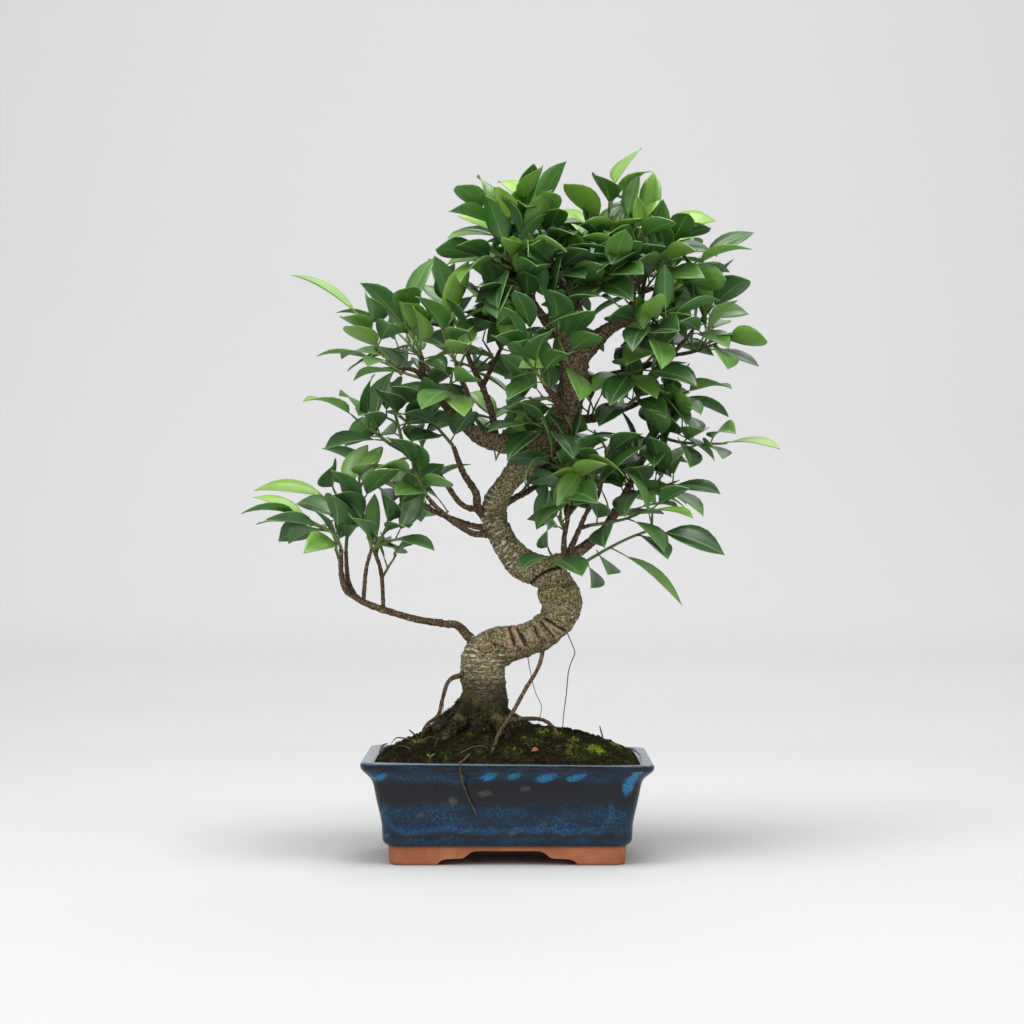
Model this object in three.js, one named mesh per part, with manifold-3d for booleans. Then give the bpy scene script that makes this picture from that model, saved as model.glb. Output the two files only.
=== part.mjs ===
// A bonsai fig in its pot: an S-shaped trunk with woody branches and aerial roots, leafy shoots, a mound
// of soil and a glazed rectangular pot on a bare foot, with a drain mesh over each of its two holes.
// Millimetres, +Z up, the front faces -Y. The origin ends up below the middle of the whole plant.
import * as THREE from "three";
import { mergeVertices } from "three/addons/utils/BufferGeometryUtils.js";
import Module from "manifold-3d";

const wasm = await Module();
wasm.setup();

// ---- Driving dimensions ----
const POT_LENGTH = 205.4;        // over the rim
const POT_DEPTH = 152;
const POT_HEIGHT = 72.5;
const FOOT_ARCH = 10.2;          // height of the opening under the pot
const FOOT_WIDTH = 9;            // thickness of the foot ring
const FLOOR_TOP = 17;            // inside floor of the pot
const DRAIN_RADIUS = 8;
const DRAIN_SPACING = 90;
const SOIL_EDGE = 71;            // height of the soil at the rim
const SOIL_RISE = 22;            // how far the mound stands above that
const FIT_GAP = 0.35;            // clearance between pieces that touch
const STEM_RADIUS = 1.3;         // green shoot, where it leaves the wood
const STEM_SIDES = 3;
const LEAF_LENGTH = [46, 57];    // stalk and blade together
const LEAF_SLIMNESS = 0.44;      // width of a blade over the leaf's length
const LEAF_THICKNESS = 0.8;
const LEAF_CLEARANCE = 0.35;     // kept between leaves
const VIEW_DISTANCE = 1925;      // the plant is laid out as it is seen from this far in front of the pot
const EYE_HEIGHT = 247.7;
const EYE_SIDE = 3.3;

// ---- Helpers ----
function closedSolid(points, faces) {
  return new wasm.Manifold(new wasm.Mesh({
    numProp: 3,
    vertProperties: Float32Array.from(points.flatMap((point) => [point.x, point.y, point.z])),
    triVerts: Uint32Array.from(faces.flat()),
  }));
}

function solidOf(geometry) {
  geometry.deleteAttribute("normal");
  geometry.deleteAttribute("uv");
  const merged = mergeVertices(geometry, 1e-4);
  return new wasm.Manifold(new wasm.Mesh({
    numProp: 3,
    vertProperties: merged.attributes.position.array,
    triVerts: Uint32Array.from(merged.index.array),
  }));
}

function meshOf(name, solid, material) {
  const { vertProperties, triVerts } = solid.getMesh();
  const geometry = new THREE.BufferGeometry();
  geometry.setAttribute("position", new THREE.BufferAttribute(vertProperties, 3));
  geometry.setIndex(new THREE.BufferAttribute(triVerts, 1));
  geometry.computeVertexNormals();
  const mesh = new THREE.Mesh(geometry, material);
  mesh.name = name;
  return mesh;
}

// A body through rings of points, each ring counterclockwise about the way that the rings run.
function loft(rings) {
  const count = rings[0].length;
  const faces = [];
  for (let ring = 0; ring + 1 < rings.length; ring++) {
    for (let i = 0; i < count; i++) {
      const a = ring * count + i;
      const b = ring * count + (i + 1) % count;
      faces.push([a, b, b + count], [a, b + count, a + count]);
    }
  }
  const last = (rings.length - 1) * count;
  for (let i = 1; i + 1 < count; i++) {
    faces.push([0, i + 1, i], [last, last + i, last + i + 1]);
  }
  return closedSolid(rings.flat(), faces);
}

// Where a point that is seen at x, z in the plane of the trunk lies when it is at depth y.
function seen(x, z, y) {
  const spread = 1 + y / VIEW_DISTANCE;
  return new THREE.Vector3(EYE_SIDE + (x - EYE_SIDE) * spread, y, EYE_HEIGHT + (z - EYE_HEIGHT) * spread);
}

// A row of draws between two numbers, the same each time.
function drawsFrom(seed) {
  let state = seed;
  return (low, high) => {
    state = (state * 1664525 + 1013904223) % 4294967296;
    return low + (high - low) * state / 4294967296;
  };
}

// ---- Pot: a fired shell with a wide rim, on a foot ring that is cut away into four cloud feet ----
const RIM_HALF = POT_LENGTH / 2;
const DEPTH_LESS = (POT_LENGTH - POT_DEPTH) / 2;
const CORNER_STEPS = 3;

const POT_OUTSIDE = [             // half length, height
  [RIM_HALF - 21.7, 0], [RIM_HALF - 19.4, 3], [RIM_HALF - 19, 12.9], [RIM_HALF - 17.8, 13.9],
  [RIM_HALF - 14.9, 17.5], [RIM_HALF - 14.6, 28], [RIM_HALF - 11.4, 43.7], [RIM_HALF - 8.9, 56.5],
  [RIM_HALF - 7.1, 61.4], [RIM_HALF - 3.9, 65], [RIM_HALF - 1.1, 67.8], [RIM_HALF, 70.4],
  [RIM_HALF - 1, POT_HEIGHT],
];
const POT_INSIDE = [
  [RIM_HALF - 9, POT_HEIGHT], [RIM_HALF - 10.4, 70.8], [RIM_HALF - 15, 60], [RIM_HALF - 18, 40],
  [RIM_HALF - 20.6, 22], [RIM_HALF - 23, FLOOR_TOP],
];

function potSection(half, z, corner) {
  const ring = [];
  const centres = [[1, 1], [-1, 1], [-1, -1], [1, -1]];
  centres.forEach(([sideX, sideY], quarter) => {
    for (let step = 0; step <= CORNER_STEPS; step++) {
      const angle = (quarter + step / CORNER_STEPS) * Math.PI / 2;
      ring.push(new THREE.Vector3(
        sideX * (half - corner) + corner * Math.cos(angle),
        sideY * (half - DEPTH_LESS - corner) + corner * Math.sin(angle),
        z,
      ));
    }
  });
  return ring;
}

// The opening between two feet, from its middle to one side: distance from the middle, height.
const FOOT_OUTLINE = [[24, FOOT_ARCH], [28, 7], [31, 4.8], [39, 4.6], [44, 4.2], [48, 2.4], [50.5, -1]];

function footOpening(shrink) {
  const right = FOOT_OUTLINE.map(([across, up]) => new THREE.Vector2(across * shrink, up));
  const left = right.map((point) => new THREE.Vector2(-point.x, point.y)).reverse();
  const prism = new THREE.ExtrudeGeometry(new THREE.Shape([...left, ...right]), {
    depth: POT_LENGTH, bevelEnabled: false,
  });
  return prism.translate(0, 0, -POT_LENGTH / 2).rotateX(Math.PI / 2);
}

function potSolid() {
  const rings = [
    ...POT_OUTSIDE.map(([half, z]) => potSection(half, z, 10)),
    ...POT_INSIDE.map(([half, z]) => potSection(half, z, 6)),
  ];
  const recessHalf = POT_OUTSIDE[2][0] - FOOT_WIDTH;
  let pot = loft(rings);
  pot = pot.subtract(loft([potSection(recessHalf, -1, 5), potSection(recessHalf, FOOT_ARCH, 5)]));
  pot = pot.subtract(solidOf(footOpening(1)));
  pot = pot.subtract(solidOf(footOpening(0.6).rotateZ(Math.PI / 2)));
  for (const side of [-1, 1]) {
    const drain = new THREE.CylinderGeometry(DRAIN_RADIUS, DRAIN_RADIUS, FLOOR_TOP, 16).rotateX(Math.PI / 2);
    pot = pot.subtract(solidOf(drain.translate(side * DRAIN_SPACING / 2, 0, FLOOR_TOP - 2)));
  }
  return pot;
}

// ---- Drain meshes: plastic grids that lie on the pot's floor over its holes ----
const MESH_SIZE = 24;
const MESH_THICKNESS = 1.2;
const MESH_CELLS = 2;
const MESH_BAR = 3;

function drainMesh(x) {
  let grid = solidOf(new THREE.BoxGeometry(MESH_SIZE, MESH_SIZE, MESH_THICKNESS));
  const pitch = (MESH_SIZE - MESH_BAR) / MESH_CELLS;
  const places = Array.from({ length: MESH_CELLS }, (_, index) => (index - (MESH_CELLS - 1) / 2) * pitch);
  for (const column of places) {
    for (const row of places) {
      const cell = new THREE.BoxGeometry(pitch - MESH_BAR, pitch - MESH_BAR, 2 * MESH_THICKNESS);
      grid = grid.subtract(solidOf(cell.translate(column, row, 0)));
    }
  }
  return grid.translate(x, 0, FLOOR_TOP + FIT_GAP + MESH_THICKNESS / 2);
}

// ---- Tree: every limb is a tapered tube; a row of its path is x, z, y and radius ----
const TRUNK = [
  { sides: 10, lumps: 0.07, path: [
    [-19, 62, 0, 15], [-19, 76, 0, 21], [-19, 90, 0, 25], [-19, 100, 0, 22.5], [-17, 109, 0, 18.3],
    [-16.5, 119, 0, 15.2], [-18, 132, 0, 16], [-17.5, 140, 0, 16.8], [-15.5, 149, 0, 14],
    [-14, 155, 0, 8]] },
  { sides: 10, lumps: 0.06, path: [
    [-28, 139, 0, 8], [-21, 144, 0, 13.5], [-11, 149, 0, 15], [4, 153, 0, 12.8], [18, 157.5, 0, 11.6],
    [30, 164.5, 0, 12.8], [36.5, 173, 0, 14.4], [39, 182, 0, 15], [35, 195, 0, 13.6],
    [30, 206, 0, 9]] },
  { sides: 10, lumps: 0.06, path: [
    [42, 205, -3, 6.5], [36, 204.5, -4, 11.2], [26, 204, -5, 12.2], [14, 208.5, -5, 11.2],
    [3, 218.5, -5, 10.4], [-5, 231, -3, 9.8], [-9.3, 243, -1, 9.2], [-8.3, 256, 0, 8.8],
    [0.5, 269, 0, 8.4], [10.5, 280, 0, 9], [17, 287.5, 0, 10], [27, 294.5, 0, 10], [36.5, 303, 0, 9.7],
    [43, 317, 0, 9.5], [46, 336, 0, 9.5], [49, 356, 0, 10.5], [50, 367, 1, 7.5], [49, 374, 2, 4]] },
];

const BRANCHES = [
  // low left
  { sides: 5, path: [[-22, 150, 0, 4], [-34.7, 165, -6, 3], [-44, 167, -10, 2.7], [-62, 169.4, -14, 2.5],
    [-79, 174, -17, 2.4], [-100, 181, -20, 2.3], [-110, 186.5, -21, 2.3], [-117, 192, -22, 2.2],
    [-120, 205, -22, 1.9], [-120, 221, -22, 1.6]] },
  { sides: 4, path: [[-109, 186, -21, 1.8], [-115, 198, -16, 1.8], [-116.5, 219, -8, 1.5]] },
  { sides: 4, path: [[-89.5, 177, -18, 1.6], [-91, 203, -24, 1.5], [-96, 220, -28, 1.4]] },
  { sides: 4, path: [[-104, 183.5, -20.5, 1.6], [-102, 206, -31, 1.5], [-98, 221, -39, 1.3]] },
  // middle left
  { sides: 5, path: [[-12, 233, -4, 3], [-24, 232, -14, 2.2], [-38, 240, -26, 2], [-50, 250, -34, 1.8],
    [-58, 259, -38, 1.6]] },
  { sides: 5, path: [[-12, 238, 0, 3.4], [-21, 250, -5, 3], [-23, 262, -9, 2.7], [-32, 276, -12, 2.4],
    [-39, 295, -14, 1.7]] },
  { sides: 5, path: [[-21, 249, -5, 2.2], [-34, 254, -14, 2], [-48, 273, -22, 1.8], [-61, 283, -26, 1.7],
    [-72, 290, -30, 1.6], [-85, 297, -34, 1.4]] },
  { sides: 4, path: [[-59, 281, -25, 1.6], [-69, 290, -24, 1.5], [-76, 299, -26, 1.4]] },
  // upper left
  { sides: 6, path: [[14, 290, 0, 8], [2, 296, -5, 7.4], [-10, 298, -8, 6.5], [-20, 302, -11, 6],
    [-30, 311, -12, 5.2], [-43, 324, -10, 4.4], [-55, 338, -6, 3.8], [-61, 347, -4, 3],
    [-62, 361, 0, 1.9]] },
  { sides: 4, path: [[-58, 342, -5, 2.4], [-67, 350, -9, 1.9], [-79, 352, -12, 1.6]] },
  { sides: 5, path: [[-27, 308, -12, 3.2], [-29, 330, -18, 2.4], [-34, 346, -22, 2], [-37, 355, -22, 1.7]] },
  { sides: 5, path: [[-9, 298, -6, 3], [-11, 318, 4, 2.6], [-18, 338, 11, 2.3], [-25, 352, 15, 1.9],
    [-31, 367, 18, 1.6]] },
  { sides: 4, path: [[-18, 338, 11, 1.9], [-11, 353, 15, 1.8], [-4, 367, 19, 1.5]] },
  // crown
  { sides: 6, path: [[50, 356, 0, 8], [58, 367, 2, 7], [68, 376, 4, 6], [79, 383, 6, 4.8],
    [90, 389, 8, 3.6], [100, 395, 9, 2.4], [106, 403, 10, 2], [107, 411, 10, 1.6]] },
  { sides: 4, path: [[88, 388, 8, 2.4], [91, 405, 4, 1.9], [91, 430, 0, 1.5]] },
  { sides: 5, path: [[48, 364, -1, 6.5], [40, 376, -4, 4.8], [30, 384, -7, 4], [22, 394, -10, 3],
    [15, 407, -13, 2.3], [8, 424, -14, 1.9], [5, 437, -14, 1.6]] },
  { sides: 5, path: [[50, 364, 1, 6], [50, 382, 4, 4.4], [49, 396, 8, 3.2], [40, 409, 10, 2.6],
    [34, 420, 8, 2], [32, 432, 6, 1.6]] },
  { sides: 4, path: [[49, 394, 8, 2.4], [59, 409, 13, 2], [66, 424, 16, 1.8], [67, 434, 16, 1.5]] },
  { sides: 4, path: [[49, 386, 5, 3], [44, 394, 30, 2.4], [34, 403, 54, 2], [27, 411, 70, 1.7]] },
  { sides: 4, path: [[91, 389, 8, 2.6], [96, 398, 34, 2.2], [98, 410, 56, 1.8], [100, 419, 66, 1.5]] },
  // right
  { sides: 5, path: [[47, 340, 2, 5], [62, 343, 22, 4], [78, 347, 33, 3.2], [94, 351, 34, 2.6],
    [108, 356, 30, 2.2], [119, 360.5, 26, 1.8], [130, 362.5, 20, 1.6], [140, 365, 15, 1.4]] },
  { sides: 4, path: [[118, 360, 26, 1.7], [124, 367, 26, 1.6], [130, 374, 24, 1.4]] },
  { sides: 4, path: [[92, 350.5, 34, 2.2], [96, 352, 56, 1.9], [100, 355, 73, 1.6]] },
  { sides: 5, path: [[42, 316, 2, 4.5], [60, 315, 30, 3.4], [84, 322, 42, 2.4], [103, 330, 40, 1.6]] },
  { sides: 5, path: [[36, 212, -2, 5], [46, 216.5, 0, 4.4], [58, 224, 4, 4], [72, 238, 12, 3.4],
    [85, 261, 25, 2.8], [98, 285, 30, 2.3], [109, 302, 30, 1.7]] },
  { sides: 4, path: [[41, 215, -3, 2.4], [41, 229, -7, 1.9], [43, 240, -9, 1.8], [45, 252, -10, 1.5]] },
  { sides: 4, path: [[44, 217, -2, 2.4], [50, 231, -4, 2], [57, 247, -5, 1.8], [65, 259, -6, 1.7],
    [68, 270, -6, 1.5]] },
  // towards the front and the back
  { sides: 4, path: [[43, 318, -4, 3.4], [37, 326, -28, 2.4], [31, 334, -42, 2], [27, 339, -52, 1.7]] },
  { sides: 4, path: [[-38, 320, -10, 3], [-50, 336, 18, 2.2], [-56, 348, 40, 1.9], [-60, 355, 55, 1.6]] },
  { sides: 5, path: [[16, 287, 2, 4.6], [4, 292, 26, 3.4], [-8, 300, 50, 2.4], [-15, 307, 69, 1.7]] },
  { sides: 4, path: [[-8, 250, 2, 3.4], [4, 257, 22, 2.5], [20, 266, 44, 2], [31, 275, 61, 1.6]] },
  { sides: 4, path: [[-8, 236, 2, 3], [-26, 238, 26, 2.3], [-48, 246, 48, 1.9], [-63, 253, 61, 1.6]] },
];

// Roots that leave the trunk above the soil: toes of the swollen base, aerial roots and an arched one.
const ROOTS = [
  { sides: 5, path: [[-28, 106, 0, 7], [-42, 98, -6, 6], [-56, 87, -10, 4.4], [-70, 72, -13, 2.4]] },
  { sides: 5, path: [[-26, 104, -8, 7], [-36, 95, -24, 5.4], [-44, 84, -36, 4], [-50, 68, -44, 2.4]] },
  { sides: 5, path: [[-12, 104, -10, 6.5], [-6, 94, -26, 5], [0, 84, -38, 3.6], [4, 68, -46, 2.2]] },
  { sides: 5, path: [[-8, 104, 0, 7], [8, 94, 5, 5.6], [24, 84, 9, 4], [40, 68, 12, 2.2]] },
  { sides: 5, path: [[-22, 105, 6, 7], [-26, 95, 26, 5.4], [-30, 84, 40, 4], [-34, 68, 50, 2.2]] },
  { sides: 5, path: [[-10, 105, 5, 6.5], [6, 93, 24, 4.8], [16, 82, 36, 3.6], [26, 68, 44, 2.2]] },
  { sides: 4, path: [[-30, 131, -4, 2.4], [-42, 126, -9, 1.7], [-47, 112, -12, 1.6], [-50, 101, -14, 1.6],
    [-59, 93, -17, 1.6], [-64, 78, -19, 1.3]] },
  { sides: 4, path: [[26, 160, -9, 2.4], [25.5, 148, -16, 1.8], [22, 135, -21, 1.7], [13, 120, -25, 1.7],
    [6, 107, -27, 1.7], [0, 97, -30, 1.7], [-6, 88, -34, 1.6], [-9, 76, -37, 1.3]] },
  { sides: 4, path: [[-4, 98, -12, 2.4], [6, 97.5, -17, 2], [16, 98.5, -20, 1.8], [26, 97.5, -22, 1.7],
    [34, 91, -24, 1.6], [38, 78, -25, 1.3]] },
];

// One tapered tube with flat ends. startAim turns its first end, and grow makes the tube fatter and longer,
// for a hole that it fits.
function limb(rows, sides, options) {
  return tube(rows.map(([x, z, y]) => seen(x, z, y)), rows.map((row) => row[3]), sides, options);
}

function tube(centres, radii, sides, { lumps = 0, grow = 0, startAim } = {}) {
  const last = centres.length - 1;
  let across = new THREE.Vector3();
  const rings = centres.map((centre, index) => {
    const before = centres[Math.max(index - 1, 0)];
    const after = centres[Math.min(index + 1, last)];
    let aim = after.clone().sub(before).normalize();
    if (index === 0 && startAim) aim = startAim;
    if (index === 0) {
      across.set(0, 1, 0);
      if (Math.abs(aim.y) > 0.8) across.set(1, 0, 0);
    }
    across = across.clone().addScaledVector(aim, -across.dot(aim)).normalize();
    const other = aim.clone().cross(across);
    const shift = index === 0 ? -grow : index === last ? grow : 0;
    const ring = [];
    for (let side = 0; side < sides; side++) {
      const angle = side * 2 * Math.PI / sides;
      const radius = radii[index] * (1 + lumps * Math.sin(index * 2.4 + side * 1.9)) + grow;
      ring.push(centre.clone().addScaledVector(aim, shift)
        .addScaledVector(across, radius * Math.cos(angle))
        .addScaledVector(other, radius * Math.sin(angle)));
    }
    return ring;
  });
  return loft(rings);
}

const LIMBS = [...TRUNK, ...BRANCHES, ...ROOTS];

// ---- Soil: fills the pot and stands in a mound round the trunk, with plain holes for the roots ----
const MOUND_RINGS = [0.86, 0.66, 0.42, 0.18];
const soilDraw = drawsFrom(311);

function moundHeight(x, y) {
  const alongX = Math.min(1, Math.abs(x) / (RIM_HALF - 11));
  const alongY = Math.min(1, Math.abs(y) / (RIM_HALF - DEPTH_LESS - 11));
  const lean = 1 - 0.1 * x / RIM_HALF;
  return SOIL_EDGE + SOIL_RISE * (1 - alongX ** 3) * (1 - alongY ** 3) * lean;
}

function soilSolid() {
  const wall = POT_INSIDE.slice(1).reverse().map(([half, z]) => [half - FIT_GAP, z]);
  wall[0][1] += FIT_GAP;
  const rings = wall.map(([half, z]) => potSection(half, z, 6));
  const topHalf = wall.at(-1)[0];
  for (const scale of MOUND_RINGS) {
    const ring = potSection(topHalf, 0, 6);
    ring.forEach((point) => {
      point.multiplyScalar(scale);
      point.z = moundHeight(point.x, point.y) + soilDraw(-0.7, 0.7);
    });
    rings.push(ring);
  }
  let soil = loft(rings);
  for (const { path, sides, lumps } of [TRUNK[0], ...ROOTS]) {
    soil = soil.subtract(limb(path, sides, { lumps, grow: FIT_GAP }));
  }
  const seat = MESH_SIZE + 2 * FIT_GAP;
  for (const side of [-1, 1]) {
    const recess = new THREE.BoxGeometry(seat, seat, MESH_THICKNESS + 2 * FIT_GAP);
    recess.translate(side * DRAIN_SPACING / 2, 0, FLOOR_TOP + FIT_GAP + MESH_THICKNESS / 2);
    soil = soil.subtract(solidOf(recess));
  }
  return soil;
}

// ---- Leafy shoots. A shoot's path (x, z, y) goes on from the end of a branch, or from the end of a short
// woody spur that stands on a limb's centre line at "spur". A leaf is where its tip is seen (x, z), how
// wide it looks, and whether it reaches towards the viewer or away. The leaves follow each other along
// the stem. A shoot on the back has only a number of leaves, which stand round its stem by rule. ----
const near = -1;
const far = 1;

const SHOOTS = [
  // low left branch
  { name: "low_left_front", path: [[-120, 221, -22], [-125, 232, -25], [-134, 237, -27], [-145, 243, -30]],
    leaves: [[-146, 220, 15, near], [-128, 261, 19, near], [-158, 226, 7, far], [-174, 243, 9, near],
      [-181.5, 239.5, 6, far], [-183, 259.5, 7, far], [-192, 247.5, 5, near]] },
  { name: "low_left_up", path: [[-116.5, 219, -8], [-116, 236, -2], [-120, 252, 2], [-125, 263, 4]],
    leaves: [[-99, 238, 10, near], [-133, 257, 15, far], [-153, 255.5, 14, far], [-124, 272, 16, near],
      [-183, 264, 10, far], [-127, 282, 13, near]] },
  { name: "low_left_middle", path: [[-98, 221, -39], [-102, 238, -42], [-106, 254, -40], [-107, 272, -36]],
    leaves: [[-112, 244, 14, near], [-126, 262, 16, far], [-127, 278.5, 13, near], [-79, 281, 14, near],
      [-92, 297, 16, far], [-97, 284, 10, near]] },
  { name: "low_left_inner", path: [[-96, 220, -28], [-89, 233, -30], [-85, 242, -32], [-82, 250, -33]],
    leaves: [[-52.5, 220, 5, near], [-80, 218, 6, far], [-71, 237, 6, near], [-90, 262, 16, near],
      [-62, 242.5, 5, far], [-46, 283, 15, near], [-92, 265, 12, far]] },
  // middle left branches
  { name: "middle_left_tip", path: [[-85, 297, -34], [-98, 307, -37], [-108, 314, -39]],
    leaves: [[-132, 293.5, 10, near], [-107, 319, 14, near], [-82, 350, 16, far], [-98, 348, 6, near],
      [-120, 334, 14, far], [-147, 330, 5, near]] },
  { name: "middle_left_inner", path: [[-76, 299, -26], [-79, 311, -20], [-82, 321, -14]],
    leaves: [[-93, 303, 14, far], [-50, 326, 14, near], [-51, 313, 13, near], [-91, 336, 14, near],
      [-58, 340, 15, far], [-80, 345, 16, far]] },
  { name: "middle_left_low", path: [[-58, 259, -38], [-65, 272, -42], [-68, 281, -45]],
    leaves: [[-80, 262, 10, near], [-42, 270, 13, near], [-70, 300, 16, far], [-97, 279, 6, near],
      [-86, 303, 14, near], [-62, 303, 10, near]] },
  { name: "middle_left_rise", path: [[-39, 295, -14], [-50, 308, -18], [-58, 316, -20]],
    leaves: [[-24, 322, 16, near], [-70, 300, 10, near], [-80, 319, 5, near], [-60, 345, 18, far],
      [-83, 339, 13, near]] },
  // upper left branch
  { name: "left_tip", path: [[-79, 352, -12], [-90, 362, -15], [-96, 372, -16], [-101, 384, -17]],
    leaves: [[-101, 355.5, 6, near], [-120, 360, 6, far], [-117, 383, 14, near], [-84, 384, 19, near],
      [-119, 390, 6, near], [-101, 405, 18, near], [-155, 420, 6, far]] },
  { name: "left_upper", path: [[-62, 361, 0], [-69, 375, 3], [-76, 385, 5]],
    leaves: [[-68, 395, 13, near], [-50, 388, 14, far], [-74, 400, 14, near], [-105, 415, 14, near],
      [-53, 433, 15, far], [-70, 412, 16, near]] },
  { name: "left_centre", path: [[-37, 355, -22], [-43, 369, -25], [-47, 379, -26]],
    leaves: [[-28, 370, 13, near], [-62, 374, 14, far], [-28, 379, 10, near], [-66, 404, 13, near],
      [-36, 408, 15, far], [-28, 429, 16, near]] },
  { name: "left_low", spur: [-42, 322, -10],
    path: [[-42, 332, -18], [-41, 340, -24], [-40, 347, -29]],
    leaves: [[-31, 318, 13, near], [-62, 322, 13, near], [-24, 345, 14, near], [-64, 356, 16, far],
      [-43, 372, 15, near]] },
  { name: "left_mid_back", path: [[-31, 367, 18], [-36, 382, 22], [-40, 392, 26]],
    leaves: [[-12, 385, 14, near], [-58, 390, 16, far], [-24, 405, 16, near], [-60, 412, 16, far],
      [-40, 428, 16, near]] },
  { name: "left_mid_front", path: [[-4, 367, 19], [-6, 381, 16], [-10, 391, 14]],
    leaves: [[-33, 393, 10, near], [14, 388, 16, far], [-34, 414, 13, near], [8, 412, 16, near],
      [-14, 428, 16, near]] },
  // middle of the tree, in front of the trunk
  { name: "centre_front", path: [[27, 339, -52], [20, 350, -60], [14, 356, -63]],
    leaves: [[0, 331, 10, near], [44, 362, 15, near], [0, 347, 16, far], [30, 378, 16, near],
      [6, 372, 15, near], [-9, 376, 16, near]] },
  { name: "centre_low", spur: [35, 302, -4],
    path: [[32, 305, -15], [26, 309, -24], [18, 312, -31]],
    leaves: [[48, 288, 14, near], [0, 287, 13, near], [2, 331, 7, near], [-14, 306, 6, near],
      [-9, 322, 10, near]] },
  { name: "centre_up", spur: [47, 346, -5],
    path: [[44, 352, -17], [42, 360, -22], [38, 370, -27]],
    leaves: [[54, 330, 15, near], [8, 352, 15, near], [66, 376, 16, near], [-4, 372, 16, near],
      [62, 395, 16, near], [32, 410, 14, near]] },
  // crown, left to right
  { name: "crown_left_tip", path: [[5, 437, -14], [-1, 447, -15], [-8, 453, -16], [-16, 459, -17]],
    leaves: [[24, 452, 18, far], [-43, 447, 6, near], [-5, 483, 17, near], [-43, 466, 10, near],
      [-20, 491, 14, far], [-36, 484, 17, near]] },
  { name: "crown_left_low", spur: [9, 421, -14],
    path: [[4, 423, -15], [-4, 426, -16], [-15, 430, -17]],
    leaves: [[-8, 396, 14, near], [-5, 447, 15, far], [-35, 415, 7, near], [-36, 442, 13, near],
      [-28, 398, 16, near], [-52, 438, 16, near]] },
  { name: "crown_left_inner", spur: [15.5, 406, -13],
    path: [[10, 408, -17], [4, 410, -20], [-4, 412, -24]],
    leaves: [[22, 428, 16, near], [-8, 388, 14, near], [-10, 434, 16, far], [-28, 404, 16, near],
      [-34, 421, 14, near]] },
  { name: "crown_top", path: [[32, 432, 6], [26, 446, 3], [20, 456, 0], [14, 466, -3]],
    leaves: [[48, 449, 10, near], [38, 467, 20, near], [2, 470, 14, near], [33, 480, 18, near],
      [41, 502, 14, near], [-6, 488, 16, far], [24, 498, 14, near]] },
  { name: "crown_top_front", spur: [39, 410, 10],
    path: [[37, 414, 3], [35, 421, -5], [36, 429, -11]],
    leaves: [[56, 417, 10, near], [14, 414, 10, near], [58, 438, 14, near], [16, 442, 14, near],
      [49, 450, 6, near], [36, 462, 14, near]] },
  { name: "crown_right_top", path: [[67, 434, 16], [70, 450, 16], [73, 463, 15], [76, 477, 14]],
    leaves: [[40, 457.5, 7, near], [97, 459, 13, near], [41, 486, 17, near], [94, 468, 14, far],
      [64, 492, 14, near], [103, 495.5, 6, near], [97, 510, 11, far]] },
  { name: "crown_right_low", spur: [58, 407.5, 12.5],
    path: [[63, 411, 8], [68, 415, 2], [74, 420, -3]],
    leaves: [[52, 402, 14, near], [90, 402, 16, near], [60, 437, 19, near], [98, 420, 14, near],
      [76, 446, 14, near]] },
  { name: "crown_right_mid", path: [[91, 430, 0], [93, 443, -3], [97, 451, -5]],
    leaves: [[75, 428, 13, near], [116, 432, 14, far], [72, 450, 14, near], [120, 458, 13, near],
      [88, 472, 16, far], [107, 478, 13, near]] },
  { name: "crown_right_tip", path: [[107, 411, 10], [110, 424, 9], [114, 434, 8], [120, 443, 7]],
    leaves: [[142, 418, 14, near], [92, 430, 14, far], [136, 438, 13, near], [104, 462, 13, near],
      [152, 434, 12, far], [131, 465, 20, near], [147, 453.5, 5, near]] },
  { name: "crown_far_right", spur: [102, 397, 9.3],
    path: [[109, 401, 7], [118, 408, 4], [128, 418, 0], [136, 428, -3]],
    leaves: [[98, 380, 14, near], [146, 398, 16, far], [158, 416, 16, near], [116, 436, 14, near],
      [176, 438, 5, near], [178, 450, 13, far]] },
  // right side, top to bottom
  { name: "right_fork", spur: [90, 389, 7],
    path: [[94, 386, -1], [99, 380, -6], [104, 373, -10]],
    leaves: [[72, 391, 7, near], [104, 400, 14, near], [90, 366, 16, near], [124, 378, 16, near],
      [112, 352, 13, near]] },
  { name: "right_big", path: [[130, 374, 24], [138, 385, 16], [144, 391, 12]],
    leaves: [[160, 366, 13, near], [112, 394, 14, near], [175, 392, 15, far], [131, 427, 14, near],
      [175, 417, 20, near]] },
  { name: "right_upper", path: [[140, 365, 15], [150, 369, 8], [156, 373, 4]],
    leaves: [[181.5, 353, 9, near], [140, 386, 9, near], [160, 352, 8, near], [189, 373, 8, near],
      [165, 395, 10, far]] },
  { name: "right_inner", spur: [107, 355.5, 30],
    path: [[109, 361, 22], [111, 368, 14], [113, 376, 6]],
    leaves: [[86, 356, 13, near], [136, 372, 16, far], [98, 386, 16, near], [132, 390, 14, near],
      [108, 408, 15, near]] },
  { name: "right_mid", spur: [77, 347, 32],
    path: [[81, 347, 24], [85, 348, 14], [90, 349, 4], [97, 350, -4]],
    leaves: [[62, 336, 14, near], [89, 372, 14, near], [108, 330, 16, near], [74, 326, 16, near],
      [114, 370, 16, far], [137, 341, 15, near]] },
  { name: "right_mid_tip", path: [[103, 330, 40], [116, 332, 31], [125, 332, 24]],
    leaves: [[104, 312, 14, near], [130.5, 312, 7, near], [113, 348, 16, near], [140, 319, 10, near],
      [128, 352, 14, far], [160, 318, 7, near], [162, 338, 6, near]] },
  { name: "right_mid_inner", spur: [83, 322, 41.5],
    path: [[87, 325, 33], [90, 328, 22], [94, 330, 12]],
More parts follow.
